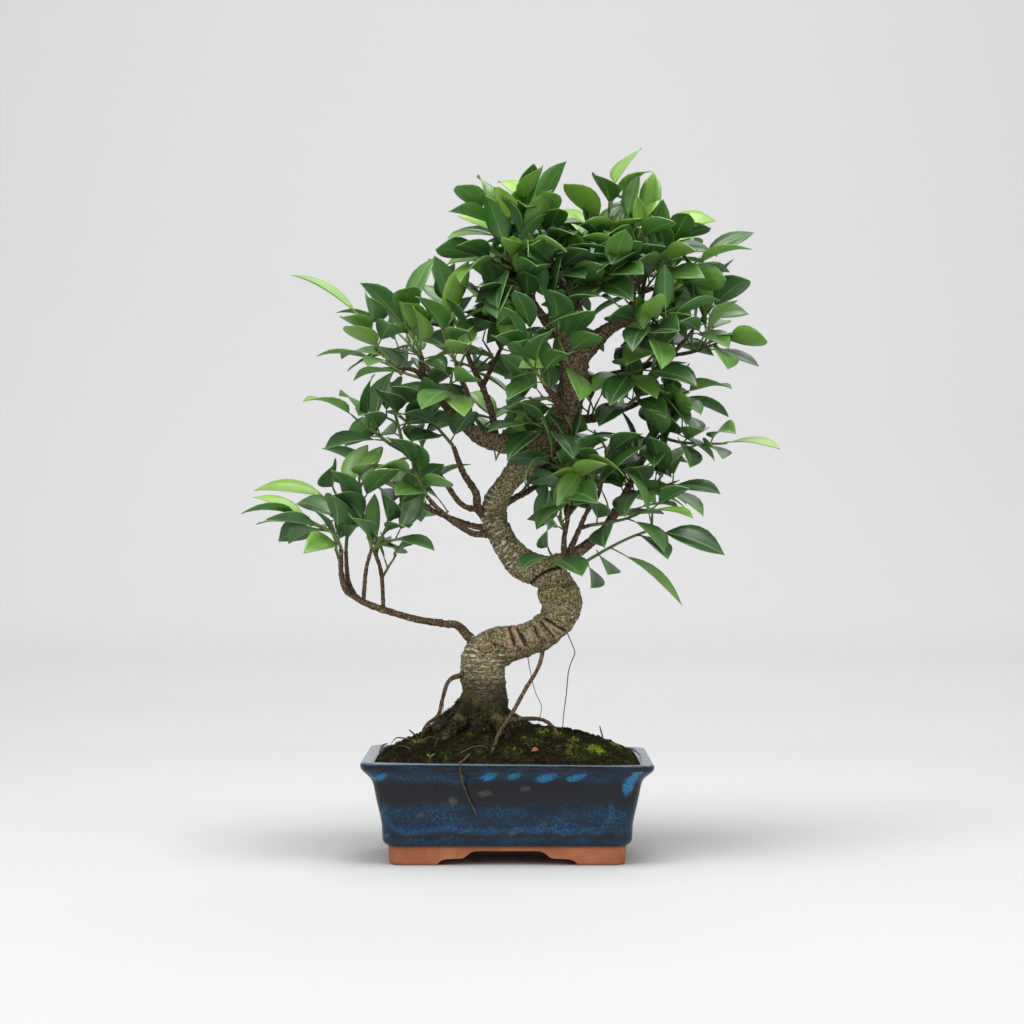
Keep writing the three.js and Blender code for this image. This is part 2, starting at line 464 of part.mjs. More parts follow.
    leaves: [[66, 310, 16, near], [110, 340, 16, near], [72, 336, 16, near], [114, 316, 16, near],
      [98, 352, 14, near]] },
  { name: "right_mid_low", path: [[109, 302, 30], [125, 298, 25], [140, 297, 20], [154, 297, 16]],
    leaves: [[112, 322, 14, near], [132, 280, 13, near], [142, 308, 13, near], [126, 320, 16, far],
      [156, 287, 7, near], [164, 306, 7, near], [197, 294, 6, near]] },
  { name: "low_right_rise", path: [[68, 270, -6], [70, 283, -6], [72, 292, -6]],
    leaves: [[46, 292, 14, near], [98, 288, 16, far], [37, 332, 13, near], [97, 306, 13, near],
      [72, 332, 16, near]] },
  { name: "low_right_outer", spur: [86, 263, 25.5],
    path: [[93, 262, 20], [102, 263, 14], [112, 266, 8], [120, 269, 4]],
    leaves: [[84, 246, 10, near], [91, 282, 20, near], [142, 246.5, 7, near], [104, 304, 18, near],
      [153.5, 262.5, 10, near], [127, 296, 14, far]] },
  { name: "low_right_shoot", spur: [52.5, 236, -4.2],
    path: [[59, 238, -7], [72, 240, -10], [86, 243, -13], [100, 249, -16]],
    leaves: [[62, 258, 16, near], [69, 224, 15, near], [84, 265, 14, near], [113.5, 219.5, 10, near],
      [97, 272, 15, far], [134, 244.5, 4, near]] },
  { name: "low_right_large", spur: [40, 207, -6],
    path: [[50, 208, -12], [60, 214, -15], [72, 221, -18], [88, 229, -20], [104, 235, -22]],
    leaves: [[62, 194, 8, near], [74, 204, 8, near], [126, 180, 7, near], [72, 246, 8, far],
      [116, 214, 10, near], [157, 217, 17, near]] },
  { name: "low_right_up", path: [[45, 252, -10], [42, 267, -12], [38, 281, -14]],
    leaves: [[22, 240, 7, near], [64, 256, 16, near], [72, 282, 13, near], [14, 268, 14, far],
      [56, 302, 14, near], [-1, 286.5, 13, near]] },
  { name: "elbow_bud", spur: [33, 212, -8],
    path: [[34, 213, -19.5], [33, 215, -24], [31, 218, -28]],
    leaves: [[9, 207, 7, near], [54, 201, 8, near], [32, 240, 8, near]] },
  // back of the tree
  { name: "back_crown_tip", path: [[27, 411, 70], [18, 428, 82], [12, 440, 86]], count: 5 },
  { name: "back_crown_side", spur: [39, 399, 42],
    path: [[46, 402, 48], [54, 412, 56], [60, 424, 62]], count: 5 },
  { name: "back_crown_right", path: [[100, 419, 66], [106, 436, 74], [110, 446, 78]], count: 5 },
  { name: "back_crown_far", spur: [97.3, 406, 49],
    path: [[106, 409, 54], [117, 414, 60], [126, 422, 66]], count: 5 },
  { name: "back_left_tip", path: [[-60, 355, 55], [-70, 368, 64], [-78, 376, 68]], count: 5 },
  { name: "back_left_side", spur: [-53, 342, 29],
    path: [[-61, 344, 36], [-74, 348, 42], [-86, 354, 46]], count: 5 },
  { name: "back_middle_tip", path: [[-15, 307, 69], [-28, 320, 80], [-36, 328, 84]], count: 5 },
  { name: "back_middle_side", spur: [-5, 298, 43],
    path: [[-2, 304, 49], [4, 314, 56], [8, 326, 62]], count: 5 },
  { name: "back_inner", path: [[31, 275, 61], [44, 290, 70], [50, 300, 74]], count: 5 },
  { name: "back_low_left", path: [[-63, 253, 61], [-80, 266, 66], [-92, 274, 68]], count: 5 },
  { name: "back_right", path: [[100, 355, 73], [112, 368, 80], [122, 374, 82]], count: 5 },
];

const leafDraw = drawsFrom(2417);
const STALK = 0.2;               // share of a leaf's length that is its stalk
const BUD_LENGTH = 5;
const GOLDEN_ANGLE = 2.39996;
const STATIONS = [0.464, 0.776]; // along the leaf, where the blade is given its width
const HALF_WIDTHS = [0.48, 0.44];

// Tries for a leaf that meets another: its reach towards or away from the viewer, and its roll.
const TRIES = [[1, 0], [1, 0.35], [1, -0.35], [0.75, 0], [0.75, 0.4], [0.75, -0.4], [1.2, 0.2],
  [1.2, -0.3], [0.45, 0.2], [0.45, -0.3], [-0.5, 0], [-0.5, 0.4], [-0.8, 0], [-0.8, -0.4], [-1, 0.3],
  [-1.1, -0.2]];

function pointAlong(points, share) {
  const lengths = points.slice(1).map((point, index) => point.distanceTo(points[index]));
  let rest = share * lengths.reduce((sum, length) => sum + length, 0);
  for (let index = 0; index < lengths.length; index++) {
    if (rest <= lengths[index] || index === lengths.length - 1) {
      return points[index].clone().lerp(points[index + 1], rest / lengths[index]);
    }
    rest -= lengths[index];
  }
}

// The direction, reach and lie of one leaf: where it starts and ends, the way across its blade, and the
// way that its upper face looks.
function leafLie(base, leaf, reach, roll) {
  let tip;
  let across;
  if (leaf.way) {
    const turn = new THREE.Vector3(0, 0, 1);
    tip = base.clone().addScaledVector(leaf.way.clone().applyAxisAngle(turn, (1 - reach) * 0.6), leaf.length);
    across = tip.clone().sub(base).normalize().cross(turn).normalize();
  } else {
    const abreast = seen(leaf.tipX, leaf.tipZ, base.y);
    const shown = abreast.distanceTo(base);
    const hidden = Math.sqrt(Math.max(leaf.length ** 2 - shown ** 2, (0.15 * leaf.length) ** 2));
    tip = seen(leaf.tipX, leaf.tipZ, base.y + leaf.side * reach * hidden);
    const along = tip.clone().sub(base).normalize();
    const flat = along.clone().cross(new THREE.Vector3(0, 1, 0)).normalize();
    const deep = along.clone().cross(flat);
    const tilt = Math.acos(Math.min(1, leaf.shownWidth / leaf.width));
    const [one, other] = [tilt, -tilt].map((angle) => (
      flat.clone().multiplyScalar(Math.cos(angle)).addScaledVector(deep, Math.sin(angle))));
    const levelness = (way) => Math.abs(way.clone().cross(along).z);
    across = levelness(one) > levelness(other) ? one : other;
  }
  const along = tip.clone().sub(base).normalize();
  across.applyAxisAngle(along, roll);
  const up = across.clone().cross(along);
  if (up.z < 0) {
    across.negate();
    up.negate();
  }
  return { base, tip, across, up };
}

// A blade on its stalk, bowed along its length, with the same triangles on both faces.
function leafSolid(lie, leaf, spare) {
  const { base, tip, across, up } = lie;
  const reach = tip.clone().sub(base);
  const at = (share, side, halfWidth) => {
    const rise = 4 * share * (1 - share) * leaf.bow * leaf.length;
    return base.clone().addScaledVector(reach, share)
      .addScaledVector(across, side * (halfWidth + spare)).addScaledVector(up, rise);
  };
  const [mid, high] = STATIONS;
  const [midHalf, highHalf] = HALF_WIDTHS.map((share) => share * leaf.width);
  const sheet = [
    at(0, 0, 0),
    at(STALK, -1, 1), at(STALK, 1, 1),
    at(mid, -1, midHalf), at(mid, 1, midHalf),
    at(high, -1, highHalf), at(high, 1, highHalf),
    at(1 + spare / leaf.length, 0, 0),
  ];
  const top = [[0, 2, 1], [1, 2, 3], [2, 4, 3], [3, 4, 5], [4, 6, 5], [5, 6, 7]];
  const edge = [0, 1, 3, 5, 7, 6, 4, 2];
  const half = LEAF_THICKNESS / 2 + spare;
  const points = [
    ...sheet.map((point) => point.clone().addScaledVector(up, half)),
    ...sheet.map((point) => point.clone().addScaledVector(up, -half)),
  ];
  const under = sheet.length;
  const faces = [...top, ...top.map(([a, b, c]) => [under + a, under + c, under + b])];
  edge.forEach((from, index) => {
    const to = edge[(index + 1) % edge.length];
    faces.push([from, to, under + to], [from, under + to, under + from]);
  });
  return closedSolid(points, faces);
}

function shootLeaves(shoot, stemPoints) {
  const count = shoot.leaves ? shoot.leaves.length : shoot.count;
  const leaves = [];
  for (let index = 0; index < count; index++) {
    const length = leafDraw(...LEAF_LENGTH);
    const leaf = {
      base: pointAlong(stemPoints, 0.12 + 0.86 * index / (count - 1)),
      length,
      width: length * LEAF_SLIMNESS * leafDraw(0.92, 1.08),
      bow: leafDraw(0.03, 0.1),
    };
    const around = leafDraw(-0.4, 0.4) + index * GOLDEN_ANGLE;
    const rise = leafDraw(-0.35, 0.45);
    if (shoot.leaves) {
      const [tipX, tipZ, shownWidth, side] = shoot.leaves[index];
      Object.assign(leaf, { tipX, tipZ, shownWidth, side });
    } else {
      const lead = stemPoints.at(-1).clone().sub(stemPoints[0]).normalize().multiplyScalar(0.5);
      leaf.way = new THREE.Vector3(Math.cos(around) * Math.cos(rise), Math.sin(around) * Math.cos(rise),
        Math.sin(rise)).add(lead).normalize();
    }
    leaves.push(leaf);
  }
  return leaves;
}

function boxesMeet(a, b) {
  return [0, 1, 2].every((axis) => a.min[axis] < b.max[axis] && b.min[axis] < a.max[axis]);
}

function meets(solid, others) {
  const box = solid.boundingBox();
  return others.some((other) => boxesMeet(box, other.box) && !solid.intersect(other.solid).isEmpty());
}

const boxed = (solid) => ({ solid, box: solid.boundingBox() });

// ---- The whole plant ----
const glaze = new THREE.MeshStandardMaterial({ color: 0x1c2c52, roughness: 0.25, metalness: 0 });
const earth = new THREE.MeshStandardMaterial({ color: 0x3b2f22, roughness: 1, metalness: 0 });
const bark = new THREE.MeshStandardMaterial({ color: 0x8f7f69, roughness: 0.85, metalness: 0 });
const foliage = new THREE.MeshStandardMaterial({ color: 0x3f6b2a, roughness: 0.4, metalness: 0 });
const blackPlastic = new THREE.MeshStandardMaterial({ color: 0x1b1b1b, roughness: 0.6, metalness: 0 });

let wood = null;
for (const { path, sides, lumps } of LIMBS) {
  const piece = limb(path, sides, { lumps });
  wood = wood ? wood.add(piece) : piece;
}

// A shoot starts FIT_GAP away from the flat end of its branch or spur, in line with it.
const shoots = SHOOTS.map((shoot) => {
  const [start, ...rest] = shoot.path.map(([x, z, y]) => seen(x, z, y));
  let aim;
  if (shoot.spur) {
    const [x, z, y] = shoot.spur;
    const root = seen(x, z, y);
    aim = start.clone().sub(root).normalize();
    wood = wood.add(tube([root, start], [STEM_RADIUS * 1.2, STEM_RADIUS * 1.1], STEM_SIDES));
  } else {
    const branch = BRANCHES.find(({ path }) => path.at(-1).slice(0, 3).join() === shoot.path[0].join());
    const [before, end] = branch.path.slice(-2).map(([x, z, y]) => seen(x, z, y));
    aim = end.sub(before).normalize();
  }
  const foot = start.clone().addScaledVector(aim, FIT_GAP);
  const stemPoints = [foot, ...rest];
  const lastWay = stemPoints.at(-1).clone().sub(stemPoints.at(-2)).normalize();
  const bud = stemPoints.at(-1).clone().addScaledVector(lastWay, BUD_LENGTH);
  const radii = stemPoints.map((_, index) => STEM_RADIUS * (1 - 0.3 * index / rest.length));
  const stem = tube([...stemPoints, bud], [...radii, 0.25], STEM_SIDES, { startAim: aim });
  return { ...shoot, stemPoints, stem };
});

const pot = potSolid();
const soil = soilSolid();
const solidParts = [wood, pot, soil].map(boxed);
const stems = shoots.map(({ stem }) => boxed(stem));
const placed = [];

shoots.forEach((shoot, shootIndex) => {
  const otherStems = stems.filter((_, index) => index !== shootIndex);
  shoot.solid = shoot.stem;
  for (const leaf of shootLeaves(shoot, shoot.stemPoints)) {
    const others = [...solidParts, ...otherStems, ...placed];
    const lie = TRIES.map(([reach, roll]) => leafLie(leaf.base, leaf, reach, roll))
      .find((candidate) => !meets(leafSolid(candidate, leaf, LEAF_CLEARANCE), others));
    if (!lie) continue;
    const solid = leafSolid(lie, leaf, 0);
    placed.push(boxed(solid));
    shoot.solid = shoot.solid.add(solid);
  }
});

const plant = new THREE.Group();
plant.add(meshOf("pot", pot, glaze));
plant.add(meshOf("drain_mesh_left", drainMesh(-DRAIN_SPACING / 2), blackPlastic));
plant.add(meshOf("drain_mesh_right", drainMesh(DRAIN_SPACING / 2), blackPlastic));
plant.add(meshOf("soil", soil, earth));
plant.add(meshOf("tree_wood", wood, bark));
for (const shoot of shoots) {
  plant.add(meshOf(`spray_${shoot.name}`, shoot.solid, foliage));
}

const extent = new THREE.Box3().setFromObject(plant);
const middle = extent.getCenter(new THREE.Vector3());
plant.position.set(-middle.x, -middle.y, -extent.min.z);

export default plant;
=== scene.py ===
# A potted bonsai fig, as it looks: glazed pot on a bare clay foot, mossy soil, S-shaped trunk with bark,
# and leafy shoots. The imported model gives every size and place; this script gives the surfaces, the fine
# shapes and the light. Values named in millimetres are turned into metres where they are used.
import math
import random
from functools import partial

import bmesh
import bpy
from mathutils import Matrix, Vector, noise
from mathutils.bvhtree import BVHTree
from mathutils.kdtree import KDTree


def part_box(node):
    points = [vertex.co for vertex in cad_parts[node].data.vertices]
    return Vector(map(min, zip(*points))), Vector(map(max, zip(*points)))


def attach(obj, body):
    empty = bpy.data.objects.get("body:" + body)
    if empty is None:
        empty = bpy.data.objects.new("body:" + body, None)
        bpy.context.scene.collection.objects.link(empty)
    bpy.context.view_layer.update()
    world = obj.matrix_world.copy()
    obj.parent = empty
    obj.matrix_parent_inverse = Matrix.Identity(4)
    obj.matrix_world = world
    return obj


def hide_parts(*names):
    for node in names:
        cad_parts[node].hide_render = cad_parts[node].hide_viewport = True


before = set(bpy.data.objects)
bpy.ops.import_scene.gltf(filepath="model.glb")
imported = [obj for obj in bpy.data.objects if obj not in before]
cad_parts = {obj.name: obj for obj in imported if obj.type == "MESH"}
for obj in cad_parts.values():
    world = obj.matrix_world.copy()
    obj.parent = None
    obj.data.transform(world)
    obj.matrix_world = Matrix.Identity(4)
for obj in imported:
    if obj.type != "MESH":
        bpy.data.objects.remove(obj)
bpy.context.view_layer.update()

# ---- View ----
# The plant was photographed in a studio from straight in front, far away and level, at half its height.
# Everything on it is laid out in millimetres from the middle of the pot's underside.
MM = 0.001
EYE_SIDE, VIEW_DISTANCE, EYE_HEIGHT = 3.3, 1925, 247.7
LENS, FILM_WIDTH = 93.76, 36
pot_low, pot_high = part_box("pot")
POT_MIDDLE = Vector(((pot_low.x + pot_high.x) / 2, (pot_low.y + pot_high.y) / 2, 0))


def place(x, y, z):
    return POT_MIDDLE + Vector((x, y, z)) * MM


def add_object(name, data):
    made = bpy.data.objects.new(name, data)
    bpy.context.scene.collection.objects.link(made)
    return made


camera_data = bpy.data.cameras.new("camera")
camera_data.sensor_width = FILM_WIDTH
camera_data.lens = LENS
camera_data.clip_end = 20
camera = add_object("camera", camera_data)
camera.location = place(EYE_SIDE, -VIEW_DISTANCE, EYE_HEIGHT)
camera.rotation_euler = (math.pi / 2, 0, 0)
bpy.context.scene.camera = camera

# ---- Studio ----
# A pale floor that runs up into a pale wall in one sweep, under large soft lights: one overhead and a
# little in front, one wide from each side, a weak one from behind for the leaves' edges, and one on the wall.
FLOOR_HALF_WIDTH = 6.0
WALL_DISTANCE = 2.6
WALL_TOP = 6
SWEEP_RADIUS = 1.4
SWEEP_STEPS = 12
PAPER_TONES_WITH_PAINTED_LIGHT = [  # share of the way from under the pot to the wall, and how pale the paper is painted there: painted light and shade along the sweep, darkest on the floor behind the pot and palest on the wall
    (0.0, 0.515), (0.09, 0.51), (0.22, 0.465), (0.38, 0.48), (0.5, 0.535), (0.65, 0.615), (0.75, 0.65),
    (1.0, 0.66),
]


def object_from(shape, name, smooth=True):
    """An object with the shape for its mesh."""
    data = bpy.data.meshes.new(name)
    shape.to_mesh(data)
    shape.free()
    if smooth:
        data.shade_smooth()
    return add_object(name, data)


def new_material(name):
    finish = bpy.data.materials.new(name)
    finish.use_nodes = True
    return finish, finish.node_tree, finish.node_tree.nodes["Principled BSDF"]


def tree_of(*values):
    """The node tree that the linked values among these belong to."""
    return next(value.id_data for value in values if isinstance(value, bpy.types.NodeSocket))


def put(value, socket):
    """Links another node's output to a socket, or sets the socket's own value."""
    if isinstance(value, bpy.types.NodeSocket):
        socket.id_data.links.new(value, socket)
    else:
        socket.default_value = value


def node(tree, kind, **settings):
    """A shader node. A setting is a property, or goes to the socket of that name or number."""
    made = tree.nodes.new("ShaderNode" + kind)
    for key, value in settings.items():
        if hasattr(made, key):
            setattr(made, key, value)
        else:
            put(value, made.inputs[int(key[1:]) if key[0] == "_" else key.replace("_", " ")])
    return made


def maths(operation, *values):
    """A Math node on numbers and other nodes' outputs."""
    settings = {"_%d" % index: value for index, value in enumerate(values)}
    return node(tree_of(*values), "Math", operation=operation, **settings).outputs[0]


times, plus, minus, over = [partial(maths, operation)
                            for operation in ("MULTIPLY", "ADD", "SUBTRACT", "DIVIDE")]


def ramp(value, stops, ease="LINEAR"):
    """Colours along a value: stops are place and colour, or place and grey."""
    made = node(tree_of(value), "ValToRGB", Fac=value)
    band = made.color_ramp
    band.interpolation = ease
    for index, (spot, colour) in enumerate(stops):
        element = band.elements[index] if index < 2 else band.elements.new(spot)
        element.position = spot
        element.color = (*colour, 1) if isinstance(colour, tuple) else (colour, colour, colour, 1)
    return made.outputs["Color"]


def dress(skin, colour, roughness, specular=0.5, bump=None):
    """Sets a shader; bump is a strength, a depth in millimetres and the height that is raised."""
    settings = {"Base Color": colour, "Roughness": roughness, "Specular IOR Level": specular}
    if bump:
        strength, depth, height = bump
        settings["Normal"] = node(skin.id_data, "Bump", Strength=strength, Distance=depth * MM,
                                  Height=height).outputs["Normal"]
    for name, value in settings.items():
        put(value, skin.inputs[name])


sweep = [(-FLOOR_HALF_WIDTH, 0)]
for step in range(SWEEP_STEPS + 1):
    angle = step / SWEEP_STEPS * math.pi / 2
    sweep.append((WALL_DISTANCE + SWEEP_RADIUS * math.sin(angle), SWEEP_RADIUS * (1 - math.cos(angle))))
sweep.append((WALL_DISTANCE + SWEEP_RADIUS, WALL_TOP))
floor_shape = bmesh.new()
strand = [floor_shape.verts.new((-FLOOR_HALF_WIDTH, y, z)) for y, z in sweep]
edges = [floor_shape.edges.new(pair) for pair in zip(strand, strand[1:])]
made = bmesh.ops.extrude_edge_only(floor_shape, edges=edges)["geom"]
moved = [item for item in made if isinstance(item, bmesh.types.BMVert)]
bmesh.ops.translate(floor_shape, verts=moved, vec=(2 * FLOOR_HALF_WIDTH, 0, 0))
bmesh.ops.recalc_face_normals(floor_shape, faces=floor_shape.faces)
studio_floor = object_from(floor_shape, "studio_floor")

paper, tree, skin = new_material("studio_paper")
depth = node(tree, "SeparateXYZ", Vector=node(tree, "TexCoord").outputs["Object"]).outputs["Y"]
# The paper's tone changes along the sweep: painted light and shade.
dress(skin, ramp(over(depth, WALL_DISTANCE + SWEEP_RADIUS),
                 [(share, (tone, tone, tone * 1.01)) for share, tone in PAPER_TONES_WITH_PAINTED_LIGHT]), roughness=0.9)
studio_floor.data.materials.append(paper)

STUDIO_LIGHTS = [  # name, place in metres, what it looks at, size, power in watts
    ("light_overhead", (-0.15, -0.6, 2.4), (0, 0, 0.25), 1.6, 62),
    ("light_left", (-2.2, -1.8, 1.5), (0, 0, 0.25), 1.5, 31),
    ("light_right", (2.2, -1.8, 1.5), (0, 0, 0.25), 1.5, 28),
    ("light_back", (0.6, 1.9, 2.2), (0, 0, 0.3), 1.2, 12),
    ("light_wall", (0, 1.0, 2.4), (0, 4, 1.3), 2.4, 40),
]
for name, spot, target, size, power in STUDIO_LIGHTS:
    light_data = bpy.data.lights.new(name, "AREA")
    light_data.size = size
    light_data.energy = power
    light = add_object(name, light_data)
    light.location = spot
    light.rotation_euler = (Vector(target) - Vector(spot)).to_track_quat("-Z", "Y").to_euler()

world = bpy.data.worlds.new("studio_air")
world.use_nodes = True
air = world.node_tree.nodes["Background"]
put((1.0, 1.0, 1.0, 1), air.inputs["Color"])
put(0.5, air.inputs["Strength"])
bpy.context.scene.world = world
bpy.context.scene.view_settings.view_transform = "Standard"

# ---- Pot ----
# One fired piece, slip cast and glazed: a flared wall under a wide rim on a ring foot that is cut away
# into four cloud feet. The glaze stops above the foot, which stays bare terracotta, and the inside is bare.
POT_OUTSIDE = [  # half length, height
    (81.0, 0), (82.6, 0.5), (83.3, 3), (83.55, 9), (83.7, 12.6), (84.3, 13.5), (85.6, 14.4), (87.2, 16.2),
    (87.8, 18), (88.05, 23), (88.3, 29), (89.6, 36), (91.2, 43), (92.6, 50), (93.7, 56), (94.7, 59.6),
    (96.3, 62), (98.6, 64.4), (100.9, 66.6), (102.1, 68.2), (102.65, 70), (102.5, 71.4), (101.7, 72.3),
    (100.4, 72.5),
]
POT_INSIDE = [
    (96, 72.5), (94.4, 72.2), (93, 71.2), (91.4, 67), (87.8, 60), (84.8, 40), (82.2, 22), (79.8, 17),
]
DEPTH_LESS = 26.7          # the pot is this much less deep than long, on each side
CORNER_RADIUS = 10
INSIDE_CORNER_RADIUS = 6
CORNER_STEPS = 8
POT_SIDE_STEPS = 14
RIM_LIFT = 0.9             # the left end of the rim came out of the kiln a little higher
FOOT_RECESS_HALF = 74.7
FOOT_RECESS_CORNER = 5
FOOT_ARCH = 10.2
FOOT_OUTLINE = [           # the cut between two feet: distance from its middle, height
    (0, 10.2), (20, 10.2), (23.5, 9.9), (26, 8.8), (28.4, 6.9), (30.4, 5.3), (33, 4.8), (39, 4.6),
    (43.5, 4.3), (46.5, 3.4), (48.6, 1.6), (50.5, -1),
]
CUT_REACH = 120            # the cuts between the feet run this far to both sides
DRAIN_RADIUS = 8
DRAIN_SPACING = 90
DRAIN_CUT = 14             # height of the drill's middle, and its length
GLAZE_EDGE = 13.2          # height where the glaze ends outside, and where it begins inside
GLAZE_INSIDE = 62
SHARP_EDGE = 38            # degrees


def pot_ring(half, z, corner, side_steps=POT_SIDE_STEPS):
    """Points round a rounded rectangle, counterclockwise from the middle of the right end."""
    middles = [(side_x * (half - corner), side_y * (half - DEPTH_LESS - corner))
               for side_x, side_y in ((1, 1), (-1, 1), (-1, -1), (1, -1))]
    points = []
    for turn, (x, y) in enumerate(middles):
        for step in range(CORNER_STEPS + 1):
            angle = (turn + step / CORNER_STEPS) * math.pi / 2
            points.append((x + corner * math.cos(angle), y + corner * math.sin(angle)))
        start, (x, y) = points[-1], middles[(turn + 1) % 4]
        end = (x + corner * math.cos(angle), y + corner * math.sin(angle))
        for step in range(1, side_steps):
            share = step / side_steps
            points.append((start[0] + (end[0] - start[0]) * share, start[1] + (end[1] - start[1]) * share))
    return [place(x, y, z + RIM_LIFT * max(0, z - 60) / 12 * -x / half) for x, y in points]


def add_tube(shape, rings):
    """A closed body through rings of points, made by extruding the first ring's edge."""
    ring = [shape.verts.new(point) for point in rings[0]]
    edges = [shape.edges.new(pair) for pair in zip(ring, ring[1:] + ring[:1])]
    shape.faces.new(reversed(ring))
    for points in rings[1:]:
        made = bmesh.ops.extrude_edge_only(shape, edges=edges)["geom"]
        edges = [item for item in made if isinstance(item, bmesh.types.BMEdge)]
        below, above = set(ring), {}
        for vert in (item for item in made if isinstance(item, bmesh.types.BMVert)):
            ends = [edge.other_vert(vert) for edge in vert.link_edges]
            above[next(end for end in ends if end in below)] = vert
        ring = [above[vert] for vert in ring]
        for vert, point in zip(ring, points):
            vert.co = point
    shape.faces.new(ring)


def ringed_body(rings):
    shape = bmesh.new()
    add_tube(shape, rings)
    bmesh.ops.recalc_face_normals(shape, faces=shape.faces)
    return shape


def baked(piece):
    """Puts what the piece's modifiers make into its mesh."""
    bpy.context.view_layer.update()
    result = bpy.data.meshes.new_from_object(piece.evaluated_get(bpy.context.evaluated_depsgraph_get()))
    piece.modifiers.clear()
    piece.data = result


def cut_away(piece, shape):
    cutter = object_from(shape, "cutter", smooth=False)
    cut = piece.modifiers.new("cut", "BOOLEAN")
    cut.operation = "DIFFERENCE"
    cut.solver = "EXACT"
    cut.object = cutter
    baked(piece)
    bpy.data.objects.remove(cutter)


def fit(piece, slot, stands_for, *finishes):
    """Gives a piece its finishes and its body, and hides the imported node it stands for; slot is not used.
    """
    for finish in finishes:
        piece.data.materials.append(finish)
    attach(piece, "root")
    if stands_for:
        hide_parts(stands_for)


pot = object_from(ringed_body([pot_ring(half, z, CORNER_RADIUS) for half, z in POT_OUTSIDE]
                              + [pot_ring(half, z, INSIDE_CORNER_RADIUS) for half, z in POT_INSIDE]),
                  "glazed_pot")
cut_away(pot, ringed_body([pot_ring(FOOT_RECESS_HALF, z, FOOT_RECESS_CORNER) for z in (-3, FOOT_ARCH)]))
for shrink, quarter_turn in ((1, False), (0.6, True)):
    profile = [(across * shrink, up) for across, up in FOOT_OUTLINE]
    outline = [(-across, up) for across, up in reversed(profile[1:])] + profile
    cut_away(pot, ringed_body([[place(end, across, up) if quarter_turn else place(across, end, up)
                                for across, up in outline] for end in (-CUT_REACH, CUT_REACH)]))
for side in (-1, 1):
    drain = bmesh.new()
    bmesh.ops.create_cone(drain, cap_ends=True, segments=40, radius1=DRAIN_RADIUS * MM,
                          radius2=DRAIN_RADIUS * MM, depth=DRAIN_CUT * MM)
    bmesh.ops.translate(drain, verts=drain.verts, vec=place(side * DRAIN_SPACING / 2, 0, DRAIN_CUT))
    cut_away(pot, drain)

# The glaze is a dark cobalt that broke into azure specks where it ran thin, pooled nearly black below the
# rim, dripped bright from the lip, and washed pale over the top of the rim; the foot is bare terracotta.


def mixed(share, below, above):
    """Two colours laid over each other; share is how much shows of the one above."""
    below, above = [value if isinstance(value, bpy.types.NodeSocket) else (*value, 1)
                    for value in (below, above)]
    return node(tree_of(share, below, above), "Mix", data_type="RGBA",
                _0=share, _6=below, _7=above).outputs[2]


def millimetres(tree, stretch=(1, 1, 1)):
    """Object coordinates in millimetres from the pot's middle, for patterns of a real size."""
    scale = [part / MM for part in stretch]
    return node(tree, "Mapping", Vector=node(tree, "TexCoord").outputs["Object"], Scale=scale,
                Location=[-POT_MIDDLE[axis] * scale[axis] for axis in range(3)]).outputs["Vector"]


def noise_at(spot, size, detail=2.0, roughness=0.5):
    """Noise with grains of a size in the units of the coordinates, as a value."""
    return node(tree_of(spot), "TexNoise", Vector=spot, Scale=1 / size, Detail=detail,
                Roughness=roughness).outputs["Fac"]


GLAZE_SCALE = 76.0         # the height in millimetres that is 1 in the glaze's ramps
glaze, tree, skin = new_material("cobalt_glaze")
spot = millimetres(tree)
across, depth, height = node(tree, "SeparateXYZ", Vector=spot).outputs
wander = minus(noise_at(spot, 14, 3), 0.5)
level = maths("MULTIPLY_ADD", wander, 9.0, height)      # height, with wavering bands
level_share = over(level, GLAZE_SCALE)
height_share = over(height, GLAZE_SCALE)

# the body colour from the foot up to the rim, and the two scales of specks that lighten it
bands = ramp(level_share, [
    (0.17, (0.004, 0.012, 0.022)), (0.23, (0.003, 0.013, 0.030)), (0.27, (0.006, 0.008, 0.010)),
    (0.33, (0.003, 0.014, 0.034)), (0.53, (0.003, 0.013, 0.031)), (0.60, (0.008, 0.009, 0.011)),
    (0.76, (0.007, 0.008, 0.009)), (0.82, (0.003, 0.015, 0.036)), (0.94, (0.005, 0.012, 0.022)),
])
speck_amount = ramp(level_share, [(0.16, 0.6), (0.24, 0.55), (0.28, 0.15), (0.34, 0.75), (0.52, 0.7),
                                  (0.60, 0.06), (0.76, 0.06), (0.82, 0.75), (0.95, 0.35)])
fine = noise_at(spot, 1.0, 3, 0.7)
coarse = noise_at(spot, 5.0, 4, 0.7)
patches = noise_at(millimetres(tree, stretch=(0.5, 0.5, 1.3)), 15.0, 3, 0.6)
mottle = times(ramp(coarse, [(0.45, 0.0), (0.7, 1.0)]), ramp(patches, [(0.42, 0.0), (0.62, 1.0)]))
body = mixed(times(times(mottle, speck_amount), 0.8), bands, (0.004, 0.040, 0.095))
specks = times(ramp(fine, [(0.49, 0.0), (0.60, 1.0)]), ramp(patches, [(0.36, 0.15), (0.58, 1.0)]))
body = mixed(times(specks, speck_amount), body, (0.014, 0.105, 0.215))

